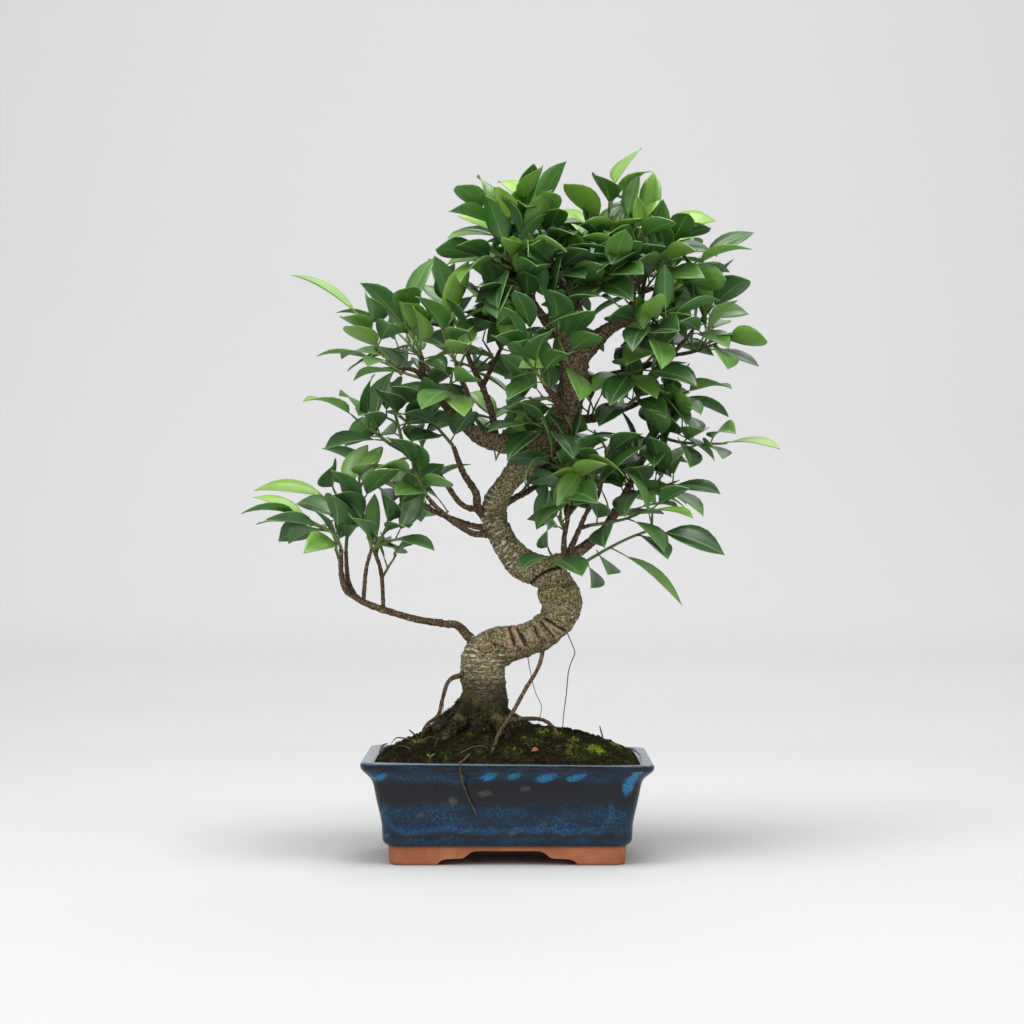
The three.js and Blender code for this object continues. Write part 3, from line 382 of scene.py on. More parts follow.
# where the mould has a faint rounded panel the glaze ran thin along its edge, and shows a paler line
PANEL_MIDDLE, PANEL_HALF, PANEL_ROUND, PANEL_FLOOR = -6.5, 79.0, 13.0, 25.0
beside = minus(maths("ABSOLUTE", plus(across, -PANEL_MIDDLE)), PANEL_HALF - PANEL_ROUND)
below = minus(PANEL_FLOOR + PANEL_ROUND, level)
panel_way = node(tree, "CombineXYZ", X=maths("MAXIMUM", beside, 0.0), Y=maths("MAXIMUM", below, 0.0))
panel = node(tree, "VectorMath", operation="LENGTH", _0=panel_way.outputs["Vector"]).outputs["Value"]
panel = ramp(over(panel, 20.0), [(0.50, 0.0), (0.60, 1.0), (0.68, 1.0), (0.80, 0.0)])
panel = times(panel, ramp(level_share, [(0.55, 1.0), (0.61, 0.0)]))
body = mixed(times(panel, ramp(fine, [(0.40, 0.05), (0.62, 0.65)])), body, (0.012, 0.10, 0.22))
dark_specks = ramp(noise_at(spot, 1.6, 2, 0.6), [(0.60, 0.0), (0.70, 0.75)])
body = mixed(dark_specks, body, (0.003, 0.006, 0.015))

# runs and spots: place along the wall and height of the middle, half width, half height, strength, colour
AZURE, FOAM, OLIVE = (0.012, 0.23, 0.47), (0.10, 0.27, 0.44), (0.13, 0.13, 0.085)
RUNS = [
    (-158.5, 63.5, 5, 3.5, 1.0, AZURE), (-84.2, 63.4, 7, 4.5, 1.0, AZURE), (-67, 63.8, 6, 3.6, 0.9, AZURE),
    (-44, 62.6, 9, 4.6, 1.0, AZURE), (-23.2, 63, 7, 4.2, 1.0, AZURE), (17.5, 59, 6.5, 11, 1.0, AZURE),
    (16, 66, 5, 4, 0.7, FOAM), (-148, 21, 7, 3, 0.9, AZURE), (52, 62.4, 8, 4.5, 0.9, AZURE),
    (96, 63.6, 7, 4, 1.0, AZURE), (128, 61, 5, 7, 0.9, AZURE), (-103, 46.5, 5, 4, 0.55, OLIVE),
    (-123.6, 35.4, 4, 3, 0.4, OLIVE), (-54.2, 54.9, 5, 3, 0.45, OLIVE), (-82, 51.4, 7, 3, 0.45, OLIVE),
    (-57.7, 23.6, 4, 2.5, 0.4, OLIVE), (-36.2, 28.5, 4, 2.5, 0.35, OLIVE), (74, 40, 6, 4, 0.4, OLIVE),
]
ragged = times(minus(noise_at(spot, 5.0, 3, 0.7), 0.5), 7.0)
ragged_along = plus(plus(across, depth), ragged)
ragged_height = plus(height, times(minus(coarse, 0.5), 5.0))
speckled = ramp(fine, [(0.38, 0.15), (0.56, 1.0)])
for run_along, run_height, half_width, half_height, strength, colour in RUNS:
    flat = node(tree, "CombineXYZ", X=over(ragged_along, half_width), Y=over(ragged_height, half_height))
    away = node(tree, "VectorMath", operation="DISTANCE", _0=flat.outputs["Vector"],
                _1=(run_along / half_width, run_height / half_height, 0)).outputs["Value"]
    body = mixed(times(ramp(away, [(0.35, strength), (1.0, 0.0)], "EASE"), speckled), body, colour)

# the lip: a dark edge broken by lighter dashes, and above it the pale wash over the top of the rim
dashes = noise_at(millimetres(tree, stretch=(0.35, 0.35, 1.4)), 3.2, 3, 0.7)
lip = ramp(height_share, [(0.876, 0.0), (0.893, 1.0), (0.940, 1.0), (0.952, 0.0)])
body = mixed(times(lip, ramp(dashes, [(0.46, 0.9), (0.56, 0.0)])), body, (0.004, 0.007, 0.013))
pale = mixed(ramp(coarse, [(0.35, 0.0), (0.65, 1.0)]), (0.040, 0.072, 0.115), (0.105, 0.145, 0.19))
body = mixed(ramp(height_share, [(0.946, 0.0), (0.960, 1.0)]), body, pale)
ripple = plus(times(noise_at(spot, 9, 2), 1.0), times(fine, 0.05))
dress(skin, body, ramp(coarse, [(0.3, 0.10), (0.75, 0.24)]), 0.3, bump=(0.35, 0.6, ripple))

FOOT_SCALE = 20.0          # the height that is 1 in the foot's ramps
terracotta, tree, skin = new_material("bare_terracotta")
spot = millimetres(tree)
height_share = over(node(tree, "SeparateXYZ", Vector=spot).outputs["Z"], FOOT_SCALE)
grog = noise_at(spot, 0.5, 3, 0.7)
clay = ramp(noise_at(spot, 18, 3, 0.6), [(0.3, (0.31, 0.096, 0.037)), (0.7, (0.44, 0.152, 0.063))])
clay = mixed(ramp(grog, [(0.58, 0.0), (0.75, 0.5)]), clay, (0.55, 0.26, 0.16))
clay = mixed(ramp(height_share, [(0.0, 0.45), (0.12, 0.0)]), clay, (0.12, 0.05, 0.03))
clay = mixed(ramp(height_share, [(0.56, 0.0), (0.66, 0.7)]), clay, (0.10, 0.035, 0.02))
dress(skin, clay, 0.85, bump=(0.5, 0.3, grog))

fit(pot, "glaze", "pot", glaze, terracotta)
for face in pot.data.polygons:
    middle = (face.center - POT_MIDDLE) / MM
    inward = middle.x * face.normal.x * 0.5 + middle.y * face.normal.y < -1 or face.normal.z > 0.9
    face.material_index = int(middle.z < GLAZE_EDGE or (inward and middle.z < GLAZE_INSIDE))
    face.use_smooth = True
pot.data.set_sharp_from_angle(angle=math.radians(SHARP_EDGE))

# ---- Drain meshes ----
# A square of black moulded plastic lies over each drain hole and keeps the soil in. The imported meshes
# have the right shape and stay; they get the plastic's slightly grainy, worn surface.
drain_plastic, tree, skin = new_material("black_drain_plastic")
spot = millimetres(tree)
worn = noise_at(spot, 4, 4, 0.6)
dress(skin, ramp(worn, [(0.3, (0.012, 0.012, 0.013)), (0.75, (0.035, 0.034, 0.032))]),
      ramp(worn, [(0.3, 0.42), (0.7, 0.68)]), bump=(0.3, 0.1, noise_at(spot, 0.3, 1)))
for name in ("drain_mesh_left", "drain_mesh_right"):
    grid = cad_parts[name]
    grid.data.materials.clear()
    grid.data.materials.append(drain_plastic)

# ---- Trunk, branches and roots ----
# One grown body: an S-shaped trunk on a swollen base, toes and aerial roots that go down into the soil,
# and woody branches. A row is where the limb's middle is seen (x, z), how deep it lies (y), and its radius.
TRUNK = [
    [(-19, 62, 0, 15), (-19, 76, 0, 21), (-19, 90, 0, 25), (-19, 100, 0, 22.5), (-17, 109, 0, 18.3),
     (-16.5, 119, 0, 15.2), (-18, 132, 0, 16), (-17.5, 140, 0, 16.8), (-15.5, 149, 0, 14),
     (-14, 155, 0, 8)],
    [(-28, 139, 0, 8), (-21, 144, 0, 13.5), (-11, 149, 0, 15), (4, 153, 0, 12.8), (18, 157.5, 0, 11.6),
     (30, 164.5, 0, 12.8), (36.5, 173, 0, 14.4), (39, 182, 0, 15), (35, 195, 0, 13.6), (30, 206, 0, 9)],
    [(42, 205, -3, 6.5), (36, 204.5, -4, 11.2), (26, 204, -5, 12.2), (14, 208.5, -5, 11.2),
     (3, 218.5, -5, 10.4), (-5, 231, -3, 9.8), (-9.3, 243, -1, 9.2), (-8.3, 256, 0, 8.8),
     (0.5, 269, 0, 8.4), (10.5, 280, 0, 9), (17, 287.5, 0, 10), (27, 294.5, 0, 10), (36.5, 303, 0, 9.7),
     (43, 317, 0, 9.5), (46, 336, 0, 9.5), (49, 356, 0, 10.5), (50, 367, 1, 7.5), (49, 374, 2, 4)],
]

BRANCHES = [
    # low left
    [(-22, 150, 0, 4), (-34.7, 165, -6, 3), (-44, 167, -10, 2.7), (-62, 169.4, -14, 2.5),
     (-79, 174, -17, 2.4), (-100, 181, -20, 2.3), (-110, 186.5, -21, 2.3), (-117, 192, -22, 2.2),
     (-120, 205, -22, 1.9), (-120, 221, -22, 1.6)],
    [(-109, 186, -21, 1.8), (-115, 198, -16, 1.8), (-116.5, 219, -8, 1.5)],
    [(-89.5, 177, -18, 1.6), (-91, 203, -24, 1.5), (-96, 220, -28, 1.4)],
    [(-104, 183.5, -20.5, 1.6), (-102, 206, -31, 1.5), (-98, 221, -39, 1.3)],
    # middle left
    [(-12, 233, -4, 3), (-24, 232, -14, 2.2), (-38, 240, -26, 2), (-50, 250, -34, 1.8),
     (-58, 259, -38, 1.6)],
    [(-12, 238, 0, 3.4), (-21, 250, -5, 3), (-23, 262, -9, 2.7), (-32, 276, -12, 2.4),
     (-39, 295, -14, 1.7)],
    [(-21, 249, -5, 2.2), (-34, 254, -14, 2), (-48, 273, -22, 1.8), (-61, 283, -26, 1.7),
     (-72, 290, -30, 1.6), (-85, 297, -34, 1.4)],
    [(-59, 281, -25, 1.6), (-69, 290, -24, 1.5), (-76, 299, -26, 1.4)],
    # upper left
    [(14, 290, 0, 8), (2, 296, -5, 7.4), (-10, 298, -8, 6.5), (-20, 302, -11, 6), (-30, 311, -12, 5.2),
     (-43, 324, -10, 4.4), (-55, 338, -6, 3.8), (-61, 347, -4, 3), (-62, 361, 0, 1.9)],
    [(-58, 342, -5, 2.4), (-67, 350, -9, 1.9), (-79, 352, -12, 1.6)],
    [(-27, 308, -12, 3.2), (-29, 330, -18, 2.4), (-34, 346, -22, 2), (-37, 355, -22, 1.7)],
    [(-9, 298, -6, 3), (-11, 318, 4, 2.6), (-18, 338, 11, 2.3), (-25, 352, 15, 1.9), (-31, 367, 18, 1.6)],
    [(-18, 338, 11, 1.9), (-11, 353, 15, 1.8), (-4, 367, 19, 1.5)],
    # crown
    [(50, 356, 0, 8), (58, 367, 2, 7), (68, 376, 4, 6), (79, 383, 6, 4.8), (90, 389, 8, 3.6),
     (100, 395, 9, 2.4), (106, 403, 10, 2), (107, 411, 10, 1.6)],
    [(88, 388, 8, 2.4), (91, 405, 4, 1.9), (91, 430, 0, 1.5)],
    [(48, 364, -1, 6.5), (40, 376, -4, 4.8), (30, 384, -7, 4), (22, 394, -10, 3), (15, 407, -13, 2.3),
     (8, 424, -14, 1.9), (5, 437, -14, 1.6)],
    [(50, 364, 1, 6), (50, 382, 4, 4.4), (49, 396, 8, 3.2), (40, 409, 10, 2.6), (34, 420, 8, 2),
     (32, 432, 6, 1.6)],
    [(49, 394, 8, 2.4), (59, 409, 13, 2), (66, 424, 16, 1.8), (67, 434, 16, 1.5)],
    [(49, 386, 5, 3), (44, 394, 30, 2.4), (34, 403, 54, 2), (27, 411, 70, 1.7)],
    [(91, 389, 8, 2.6), (96, 398, 34, 2.2), (98, 410, 56, 1.8), (100, 419, 66, 1.5)],
    # right
    [(47, 340, 2, 5), (62, 343, 22, 4), (78, 347, 33, 3.2), (94, 351, 34, 2.6), (108, 356, 30, 2.2),
     (119, 360.5, 26, 1.8), (130, 362.5, 20, 1.6), (140, 365, 15, 1.4)],
    [(118, 360, 26, 1.7), (124, 367, 26, 1.6), (130, 374, 24, 1.4)],
    [(92, 350.5, 34, 2.2), (96, 352, 56, 1.9), (100, 355, 73, 1.6)],
    [(42, 316, 2, 4.5), (60, 315, 30, 3.4), (84, 322, 42, 2.4), (103, 330, 40, 1.6)],
    [(36, 212, -2, 5), (46, 216.5, 0, 4.4), (58, 224, 4, 4), (72, 238, 12, 3.4), (85, 261, 25, 2.8),
     (98, 285, 30, 2.3), (109, 302, 30, 1.7)],
    [(41, 215, -3, 2.4), (41, 229, -7, 1.9), (43, 240, -9, 1.8), (45, 252, -10, 1.5)],
    [(44, 217, -2, 2.4), (50, 231, -4, 2), (57, 247, -5, 1.8), (65, 259, -6, 1.7), (68, 270, -6, 1.5)],
    # towards the front and the back
    [(43, 318, -4, 3.4), (37, 326, -28, 2.4), (31, 334, -42, 2), (27, 339, -52, 1.7)],
    [(-38, 320, -10, 3), (-50, 336, 18, 2.2), (-56, 348, 40, 1.9), (-60, 355, 55, 1.6)],
    [(16, 287, 2, 4.6), (4, 292, 26, 3.4), (-8, 300, 50, 2.4), (-15, 307, 69, 1.7)],
    [(-8, 250, 2, 3.4), (4, 257, 22, 2.5), (20, 266, 44, 2), (31, 275, 61, 1.6)],
    [(-8, 236, 2, 3), (-26, 238, 26, 2.3), (-48, 246, 48, 1.9), (-63, 253, 61, 1.6)],
]

ROOTS = [
    [(-28, 106, 0, 7), (-42, 98, -6, 6), (-56, 87, -10, 4.4), (-70, 72, -13, 2.4)],
    [(-26, 104, -8, 7), (-36, 95, -24, 5.4), (-44, 84, -36, 4), (-50, 68, -44, 2.4)],
    [(-12, 104, -10, 6.5), (-6, 94, -26, 5), (0, 84, -38, 3.6), (4, 68, -46, 2.2)],
    [(-8, 104, 0, 7), (8, 94, 5, 5.6), (24, 84, 9, 4), (40, 68, 12, 2.2)],
    [(-22, 105, 6, 7), (-26, 95, 26, 5.4), (-30, 84, 40, 4), (-34, 68, 50, 2.2)],
    [(-10, 105, 5, 6.5), (6, 93, 24, 4.8), (16, 82, 36, 3.6), (26, 68, 44, 2.2)],
    [(-30, 131, -4, 2.4), (-42, 126, -9, 1.7), (-47, 112, -12, 1.6), (-50, 101, -14, 1.6),
     (-59, 93, -17, 1.6), (-64, 78, -19, 1.3)],
    [(26, 160, -9, 2.4), (25.5, 148, -16, 1.8), (22, 135, -22, 1.7), (13, 120, -28, 1.7),
     (6, 107, -32, 1.7), (0, 97, -37, 1.7), (-6, 88, -43, 1.6), (-10, 77, -52, 1.5), (-12, 72, -57, 1.3)],
    [(-4, 98, -12, 2.4), (6, 97.5, -17, 2), (16, 98.5, -20, 1.8), (26, 97.5, -22, 1.7), (34, 91, -24, 1.6),
     (38, 78, -25, 1.3)],
]
THICK_LIMB = 4.5           # a branch that starts at this radius melts into the trunk
GRAIN_STEP = 1.5           # millimetres along a limb between the points that its grain is read from
THICK_WOOD = 6             # a limb of more than this radius carries full bark
THIN_WOOD_BEHIND = 0.8     # and wins over a thinner limb that is as near


def seen(x, z, y):
    """Where a point that is seen at x, z in the plane of the trunk lies when it is at depth y."""
    spread = 1 + y / VIEW_DISTANCE
    return Vector((EYE_SIDE + (x - EYE_SIDE) * spread, y, EYE_HEIGHT + (z - EYE_HEIGHT) * spread))


def curve_through(points, radii, spacing):
    """Points and radii a given distance apart on a smooth curve through rough ones."""
    fine_points, fine_radii = [], []
    padded = [points[0] * 2 - points[1], *points, points[-1] * 2 - points[-2]]
    for index in range(len(points) - 1):
        before, start, end, after = padded[index:index + 4]
        steps = max(2, round((end - start).length / spacing))
        for step in range(steps):
            t = step / steps
            fine_points.append(0.5 * (2 * start + (end - before) * t
                                      + (2 * before - 5 * start + 4 * end - after) * t * t
                                      + (3 * start - before - 3 * end + after) * t ** 3))
            fine_radii.append(radii[index] + (radii[index + 1] - radii[index]) * (3 * t * t - 2 * t ** 3))
    return fine_points + [points[-1]], fine_radii + [radii[-1]]


def limb_curve(rows, spacing):
    return curve_through([seen(x, z, y) for x, z, y, _ in rows], [row[3] for row in rows], spacing)


def limb_frames(points):
    """At each point two ways across the limb that turn as little as they can."""
    across = Vector((0, 1, 0))
    frames = []
    for index, point in enumerate(points):
        aim = (points[min(index + 1, len(points) - 1)] - points[max(index - 1, 0)]).normalized()
        if index == 0 and abs(aim.y) > 0.8:
            across = Vector((1, 0, 0))
        across = (across - aim * across.dot(aim)).normalized()
        frames.append((across, aim.cross(across)))
    return frames


def limb_body(shape, points, radii, sides, swell=lambda index, angle: 0):
    """A closed tapered tube along the points. swell(index, angle) adds a share to its radius."""
    rings = []
    for index, (point, radius, (across, other)) in enumerate(zip(points, radii, limb_frames(points))):
        ring = []
        for side in range(sides):
            angle = side * 2 * math.pi / sides
            reach = radius * (1 + swell(index, angle))
            ring.append(place(*(point + across * reach * math.cos(angle) + other * reach * math.sin(angle))))
        rings.append(ring)
    add_tube(shape, rings)


# thick wood: the trunk's three sweeps, the heavy branches and the roots, melted into one skin
REMESH_SIZE = 0.95
wood_shape = bmesh.new()
thick = [(rows, 3.0) for rows in TRUNK] + [(rows, 2.0) for rows in ROOTS]
thick += [(rows, 2.0) for rows in BRANCHES if rows[0][3] >= THICK_LIMB]
for rows, spacing in thick:
    limb_body(wood_shape, *limb_curve(rows, spacing), 20,
              lambda index, angle: 0.05 * math.sin(index * 0.45 + angle * 2.1) * math.sin(index * 0.19))
bmesh.ops.recalc_face_normals(wood_shape, faces=wood_shape.faces)
trunk = object_from(wood_shape, "trunk_and_roots")
melt = trunk.modifiers.new("melt", "REMESH")
melt.mode = "VOXEL"
melt.voxel_size = REMESH_SIZE * MM
even = trunk.modifiers.new("even", "CORRECTIVE_SMOOTH")
even.iterations = 6
even.smooth_type = "LENGTH_WEIGHTED"
even.use_only_smooth = True
baked(trunk)

# Bark grows in rings of short corky ridges across the limb. Each point gets its place on its limb, across,
# across and along in millimetres, for the ridges in the mesh and for the same pattern in the colour.
grain_points = []
for rows in TRUNK + BRANCHES + ROOTS:
    points, radii = limb_curve(rows, GRAIN_STEP)
    run = 17.0 * len(grain_points)
    thick = [(entry[0], entry[1]) for entry in grain_points if entry[1] > THICK_WOOD]
    for index, (point, radius, (across, other)) in enumerate(zip(points, radii, limb_frames(points))):
        if index:
            run += (point - points[index - 1]).length
        spot = place(*point)
        if radius > THICK_WOOD or all((spot - middle).length > (reach + 0.3 * radius) * MM
                                      for middle, reach in thick):
            grain_points.append((spot, radius, across, other, run))


def finder_of(points):
    finder = KDTree(len(points))
    for index, point in enumerate(points):
        finder.insert(point, index)
    finder.balance()
    return finder


limb_finders = []
for is_thick, extra in ((True, 0.0), (False, THIN_WOOD_BEHIND)):
    group = [entry for entry in grain_points if (entry[1] > THICK_WOOD) == is_thick]
    limb_finders.append((finder_of([entry[0] for entry in group]), group, extra))


def grain_at(point):
    """The nearest limb's own coordinates at a point, and that limb's radius there."""
    nearby = [(distance / MM - group[index][1] + extra, group[index]) for finder, group, extra in limb_finders
              for _, index, distance in finder.find_n(point, 4)]
    _, (middle, radius, across, other, run) = min(nearby, key=lambda found: found[0])
    off = (point - middle) / MM
    return Vector((off.dot(across), off.dot(other), run + off.dot(across.cross(other)))), radius


BARK_MARKS = ("girth", "scar", "cut", "cork")
# The crease at the elbow is sunk into the mesh and painted nearly black: painted shade in the fold.
CREASE = [(14.5, 193), (17.7, 196.7), (22, 201.5), (27, 205), (32, 207), (38, 208.4)]
TIE_MARKS = [  # top and bottom of each mark, half width, whether it is a pale scar or a dark cut; a cut's dark is partly the cut bark and partly painted shade in its groove
    ((-0.5, 164.5), (2.1, 151), 0.9, "scar"), ((1.2, 165), (5.2, 152.4), 0.7, "cut"),
    ((4.2, 164), (11.2, 151), 1.0, "scar"), ((6.6, 165), (13.0, 151.5), 0.7, "cut"),
    ((10.5, 160), (13.5, 154.5), 0.6, "cut"), ((14.7, 164), (17.9, 154.5), 0.7, "scar"),
    ((21.1, 167.5), (27.5, 155), 0.7, "scar"), ((23, 170), (33.5, 158), 0.6, "cut"),
    ((26.5, 168.5), (35, 158), 0.8, "scar"), ((31.5, 166.8), (40.3, 160.5), 0.9, "scar"),
    ((27, 171), (42, 162), 0.7, "cut"), ((19, 166), (22.5, 157), 0.5, "cut"),
]
CORK_PATCHES = [  # where the corky bars show: middle of the patch and its radius
    (-16.5, 262, 13), (-14.5, 245, 12), (-8, 228, 12), (0, 214, 11), (-28, 149, 9), (-25, 136, 11),
    (-22, 124, 8), (-6, 140, 7), (49, 169, 6), (-8, 126, 7),
]
CREASE_DEPTH, CREASE_HALF_WIDTH = 1.5, 1.7
CREASE_HEIGHTS, TIE_HEIGHTS = (185, 212), (148, 173)
FLARE_TOP, FLARE_SLOPE = 150, 0.4     # below this sloping line the base's grain goes by height, not by limb


def line_gap(spot, start, end):
    """How far a spot is from a line, seen from the front."""
    along = end - start
    share = min(1, max(0, (spot - start).dot(along) / along.length_squared))
    return (spot - start - along * share).length


def give_grain(piece, ridge, lump):
    """Marks each point with its place on its limb, and raises ridges and lumps of a height in millimetres."""
    piece.data.attributes.new("grain", "FLOAT_VECTOR", "POINT")
    for name in BARK_MARKS:
        piece.data.attributes.new(name, "FLOAT", "POINT")
    marks = piece.data.attributes["grain"].data
    paint = {name: piece.data.attributes[name].data for name in BARK_MARKS}
    normals = [vert.normal.copy() for vert in piece.data.vertices]
    for vert, normal in zip(piece.data.vertices, normals):
        grain, radius = grain_at(vert.co)
        local = (vert.co - POT_MIDDLE) / MM
        if radius > THICK_WOOD and local.z < FLARE_TOP - FLARE_SLOPE * local.x:
            grain = local
        marks[vert.index].vector = grain
        flat = Vector((local.x, local.z))
        amount = dict.fromkeys(BARK_MARKS, 0.0)
        amount["girth"] = radius
        if radius > 5 and local.y < 4:
            if CREASE_HEIGHTS[0] < local.z < CREASE_HEIGHTS[1]:
                gap = min(line_gap(flat, Vector(a), Vector(b)) for a, b in zip(CREASE, CREASE[1:]))
                amount["cut"] = max(0, 1 - gap / CREASE_HALF_WIDTH) * CREASE_DEPTH
            elif TIE_HEIGHTS[0] < local.z < TIE_HEIGHTS[1]:
                for top, bottom, width, kind in TIE_MARKS:
                    near = max(0, 1.4 - 0.7 * line_gap(flat, Vector(top), Vector(bottom)) / width)
                    amount[kind] = max(amount[kind], min(1, near))
            for x, z, reach in CORK_PATCHES:
                amount["cork"] = max(amount["cork"], 1 - math.dist(flat, (x, z)) / reach)
        for name, value in amount.items():
            paint[name][vert.index].value = value
        lines = noise.noise(Vector((grain.x * 0.16, grain.y * 0.16, grain.z * 0.9)))
        rings = noise.noise(Vector((grain.x * 0.05, grain.y * 0.05, grain.z * 0.3)) + Vector((9, 4, 2)))
        swells = noise.noise(Vector((grain.x * 0.07, grain.y * 0.07, grain.z * 0.045)) + Vector((3, 8, 5)))
        knobs = noise.noise(local * 0.45)
        rise = ridge * (abs(lines) * 1.1 - 0.3 + rings * 1.1 + 0.8 * knobs) + lump * swells
        share = min(1.0, radius / 9)
        vert.co += normal * MM * (share * rise - 0.9 * amount["cut"] + 0.3 * amount["scar"])


give_grain(trunk, 0.85, 1.8)

# Old wood is tan and olive, coarsely speckled dark and pale, with patches of pale corky bars across it;
# thin wood is redder, and high under the crown the wood is painted darker and redder, partly younger bark and
# partly painted shade; the base is painted nearly black, partly damp bark and partly painted shade, and is
# green with algae. Ties have left scars; the tie cuts are dark, partly cut bark and partly painted shade in
# their grooves, and the crease at the elbow is painted nearly black as painted shade in the fold.
FULL_GIRTH = 10.0          # the radius, and the two heights, that are 1 in the bark's ramps
BASE_SCALE, TREE_SCALE = 200.0, 400.0
BAR_SPACING = 1.9
bark, tree, skin = new_material("fig_bark")
grain = node(tree, "Attribute", attribute_name="grain").outputs["Vector"]
girth, scar, cut, cork = [node(tree, "Attribute", attribute_name=name).outputs["Fac"]
                          for name in BARK_MARKS]
spot = millimetres(tree)
height = node(tree, "SeparateXYZ", Vector=spot).outputs["Z"]
level = over(height, BASE_SCALE)
girth_share = over(girth, FULL_GIRTH)
run = node(tree, "SeparateXYZ", Vector=grain).outputs["Z"]
wide = node(tree, "Mapping", Vector=grain, Scale=(0.36, 0.36, 1.0)).outputs["Vector"]
bars = maths("PINGPONG", plus(run, times(noise_at(wide, 3.0, 2), 6.0)), BAR_SPACING)
bars = ramp(over(bars, BAR_SPACING), [(0.30, 1.0), (0.54, 0.0)])
faint = ramp(noise_at(grain, 8, 2, 0.6), [(0.54, 0.0), (0.66, 0.4)])
patchy = maths("MAXIMUM", ramp(cork, [(0.05, 0.0), (0.35, 1.0)]), faint)
bars = times(times(bars, patchy), ramp(noise_at(wide, 1.5, 2, 0.6), [(0.47, 0.0), (0.54, 1.0)]))
patch = noise_at(grain, 12, 3, 0.6)
grit = noise_at(spot, 1.7, 3, 0.8)
fleck_way = node(tree, "Mapping", Vector=grain, Scale=(0.6, 0.6, 1.0), Location=(40, 0, 9))
flecks = noise_at(fleck_way.outputs["Vector"], 1.25, 2, 0.7)
hue = ramp(patch, [(0.30, (0.15, 0.105, 0.040)), (0.46, (0.24, 0.18, 0.072)),
                   (0.58, (0.33, 0.265, 0.12)), (0.74, (0.17, 0.16, 0.05))])
olive = ramp(noise_at(spot, 15, 2, 0.5), [(0.48, 0.0), (0.64, 0.5)])
hue = mixed(olive, hue, (0.125, 0.135, 0.045))
# Thin wood is redder; wood high up under the crown is painted darker and redder too, partly younger bark and
# partly painted shade under the leaves.
thin_and_crown_shade = maths("MAXIMUM", ramp(girth_share, [(0.36, 1.0), (0.66, 0.0)]),
             ramp(over(height, TREE_SCALE), [(0.68, 0.0), (0.76, 0.75)]))
hue = mixed(times(thin_and_crown_shade, 0.9), hue, (0.105, 0.062, 0.038))
hue = mixed(ramp(grit, [(0.41, 1.0), (0.53, 0.0)]), hue, (0.022, 0.014, 0.007))
pale = mixed(thin_and_crown_shade, (0.54, 0.49, 0.30), (0.30, 0.19, 0.12))
hue = mixed(ramp(flecks, [(0.52, 0.0), (0.62, 0.85)]), hue, pale)
hue = mixed(ramp(cork, [(0.1, 0.0), (0.6, 0.35)]), hue, (0.075, 0.055, 0.028))
hue = mixed(bars, hue, (0.66, 0.60, 0.42))
stout = ramp(girth_share, [(0.36, 0.25), (0.66, 1.0)])
# The base is painted nearly black from the soil up: partly damp bark and partly painted shade at the foot of
# the trunk.
base_shade = ramp(level, [(0.40, 1.0), (0.545, 0.98), (0.60, 0.75), (0.65, 0.25), (0.71, 0.0)])
hue = mixed(times(base_shade, stout), hue, (0.013, 0.009, 0.005))
damp = times(ramp(level, [(0.44, 1.0), (0.58, 0.8), (0.70, 0.0)]),
             ramp(noise_at(spot, 7, 3, 0.7), [(0.52, 0.0), (0.64, 0.8)]))
hue = mixed(times(damp, stout), hue, (0.070, 0.085, 0.008))
hue = mixed(times(scar, ramp(grit, [(0.34, 0.3), (0.5, 1.0)])), hue,
            mixed(patch, (0.40, 0.23, 0.12), (0.62, 0.42, 0.26)))
# crease and tie cuts painted nearly black: painted shade in the fold, and in the tie grooves partly the cut
# bark's own dark
hue = mixed(cut, hue, (0.018, 0.010, 0.006))
dress(skin, hue, 0.8, 0.2, bump=(1.0, 1.2, plus(times(bars, 0.6), plus(grit, flecks))))
trunk.data.shade_smooth()
fit(trunk, "bark", "tree_wood", bark)

# Thinner branches are smooth tubes of browner, younger bark, with a swelling at each old leaf scar.
BRANCH_STEP, KNOT_SPACING = 2.2, 7.0  # millimetres along a branch between curve points, and leaf scars
branch_shape = bmesh.new()
for rows in BRANCHES:
    if rows[0][3] < THICK_LIMB:
        limb_body(branch_shape, *limb_curve(rows, BRANCH_STEP), 10, lambda index, angle: 0.16 * max(
            0, math.cos(index * BRANCH_STEP / KNOT_SPACING * math.tau)) ** 6)
bmesh.ops.recalc_face_normals(branch_shape, faces=branch_shape.faces)
branches = object_from(branch_shape, "woody_branches")
give_grain(branches, 1.3, 1.2)
fit(branches, "bark", "tree_wood", bark)

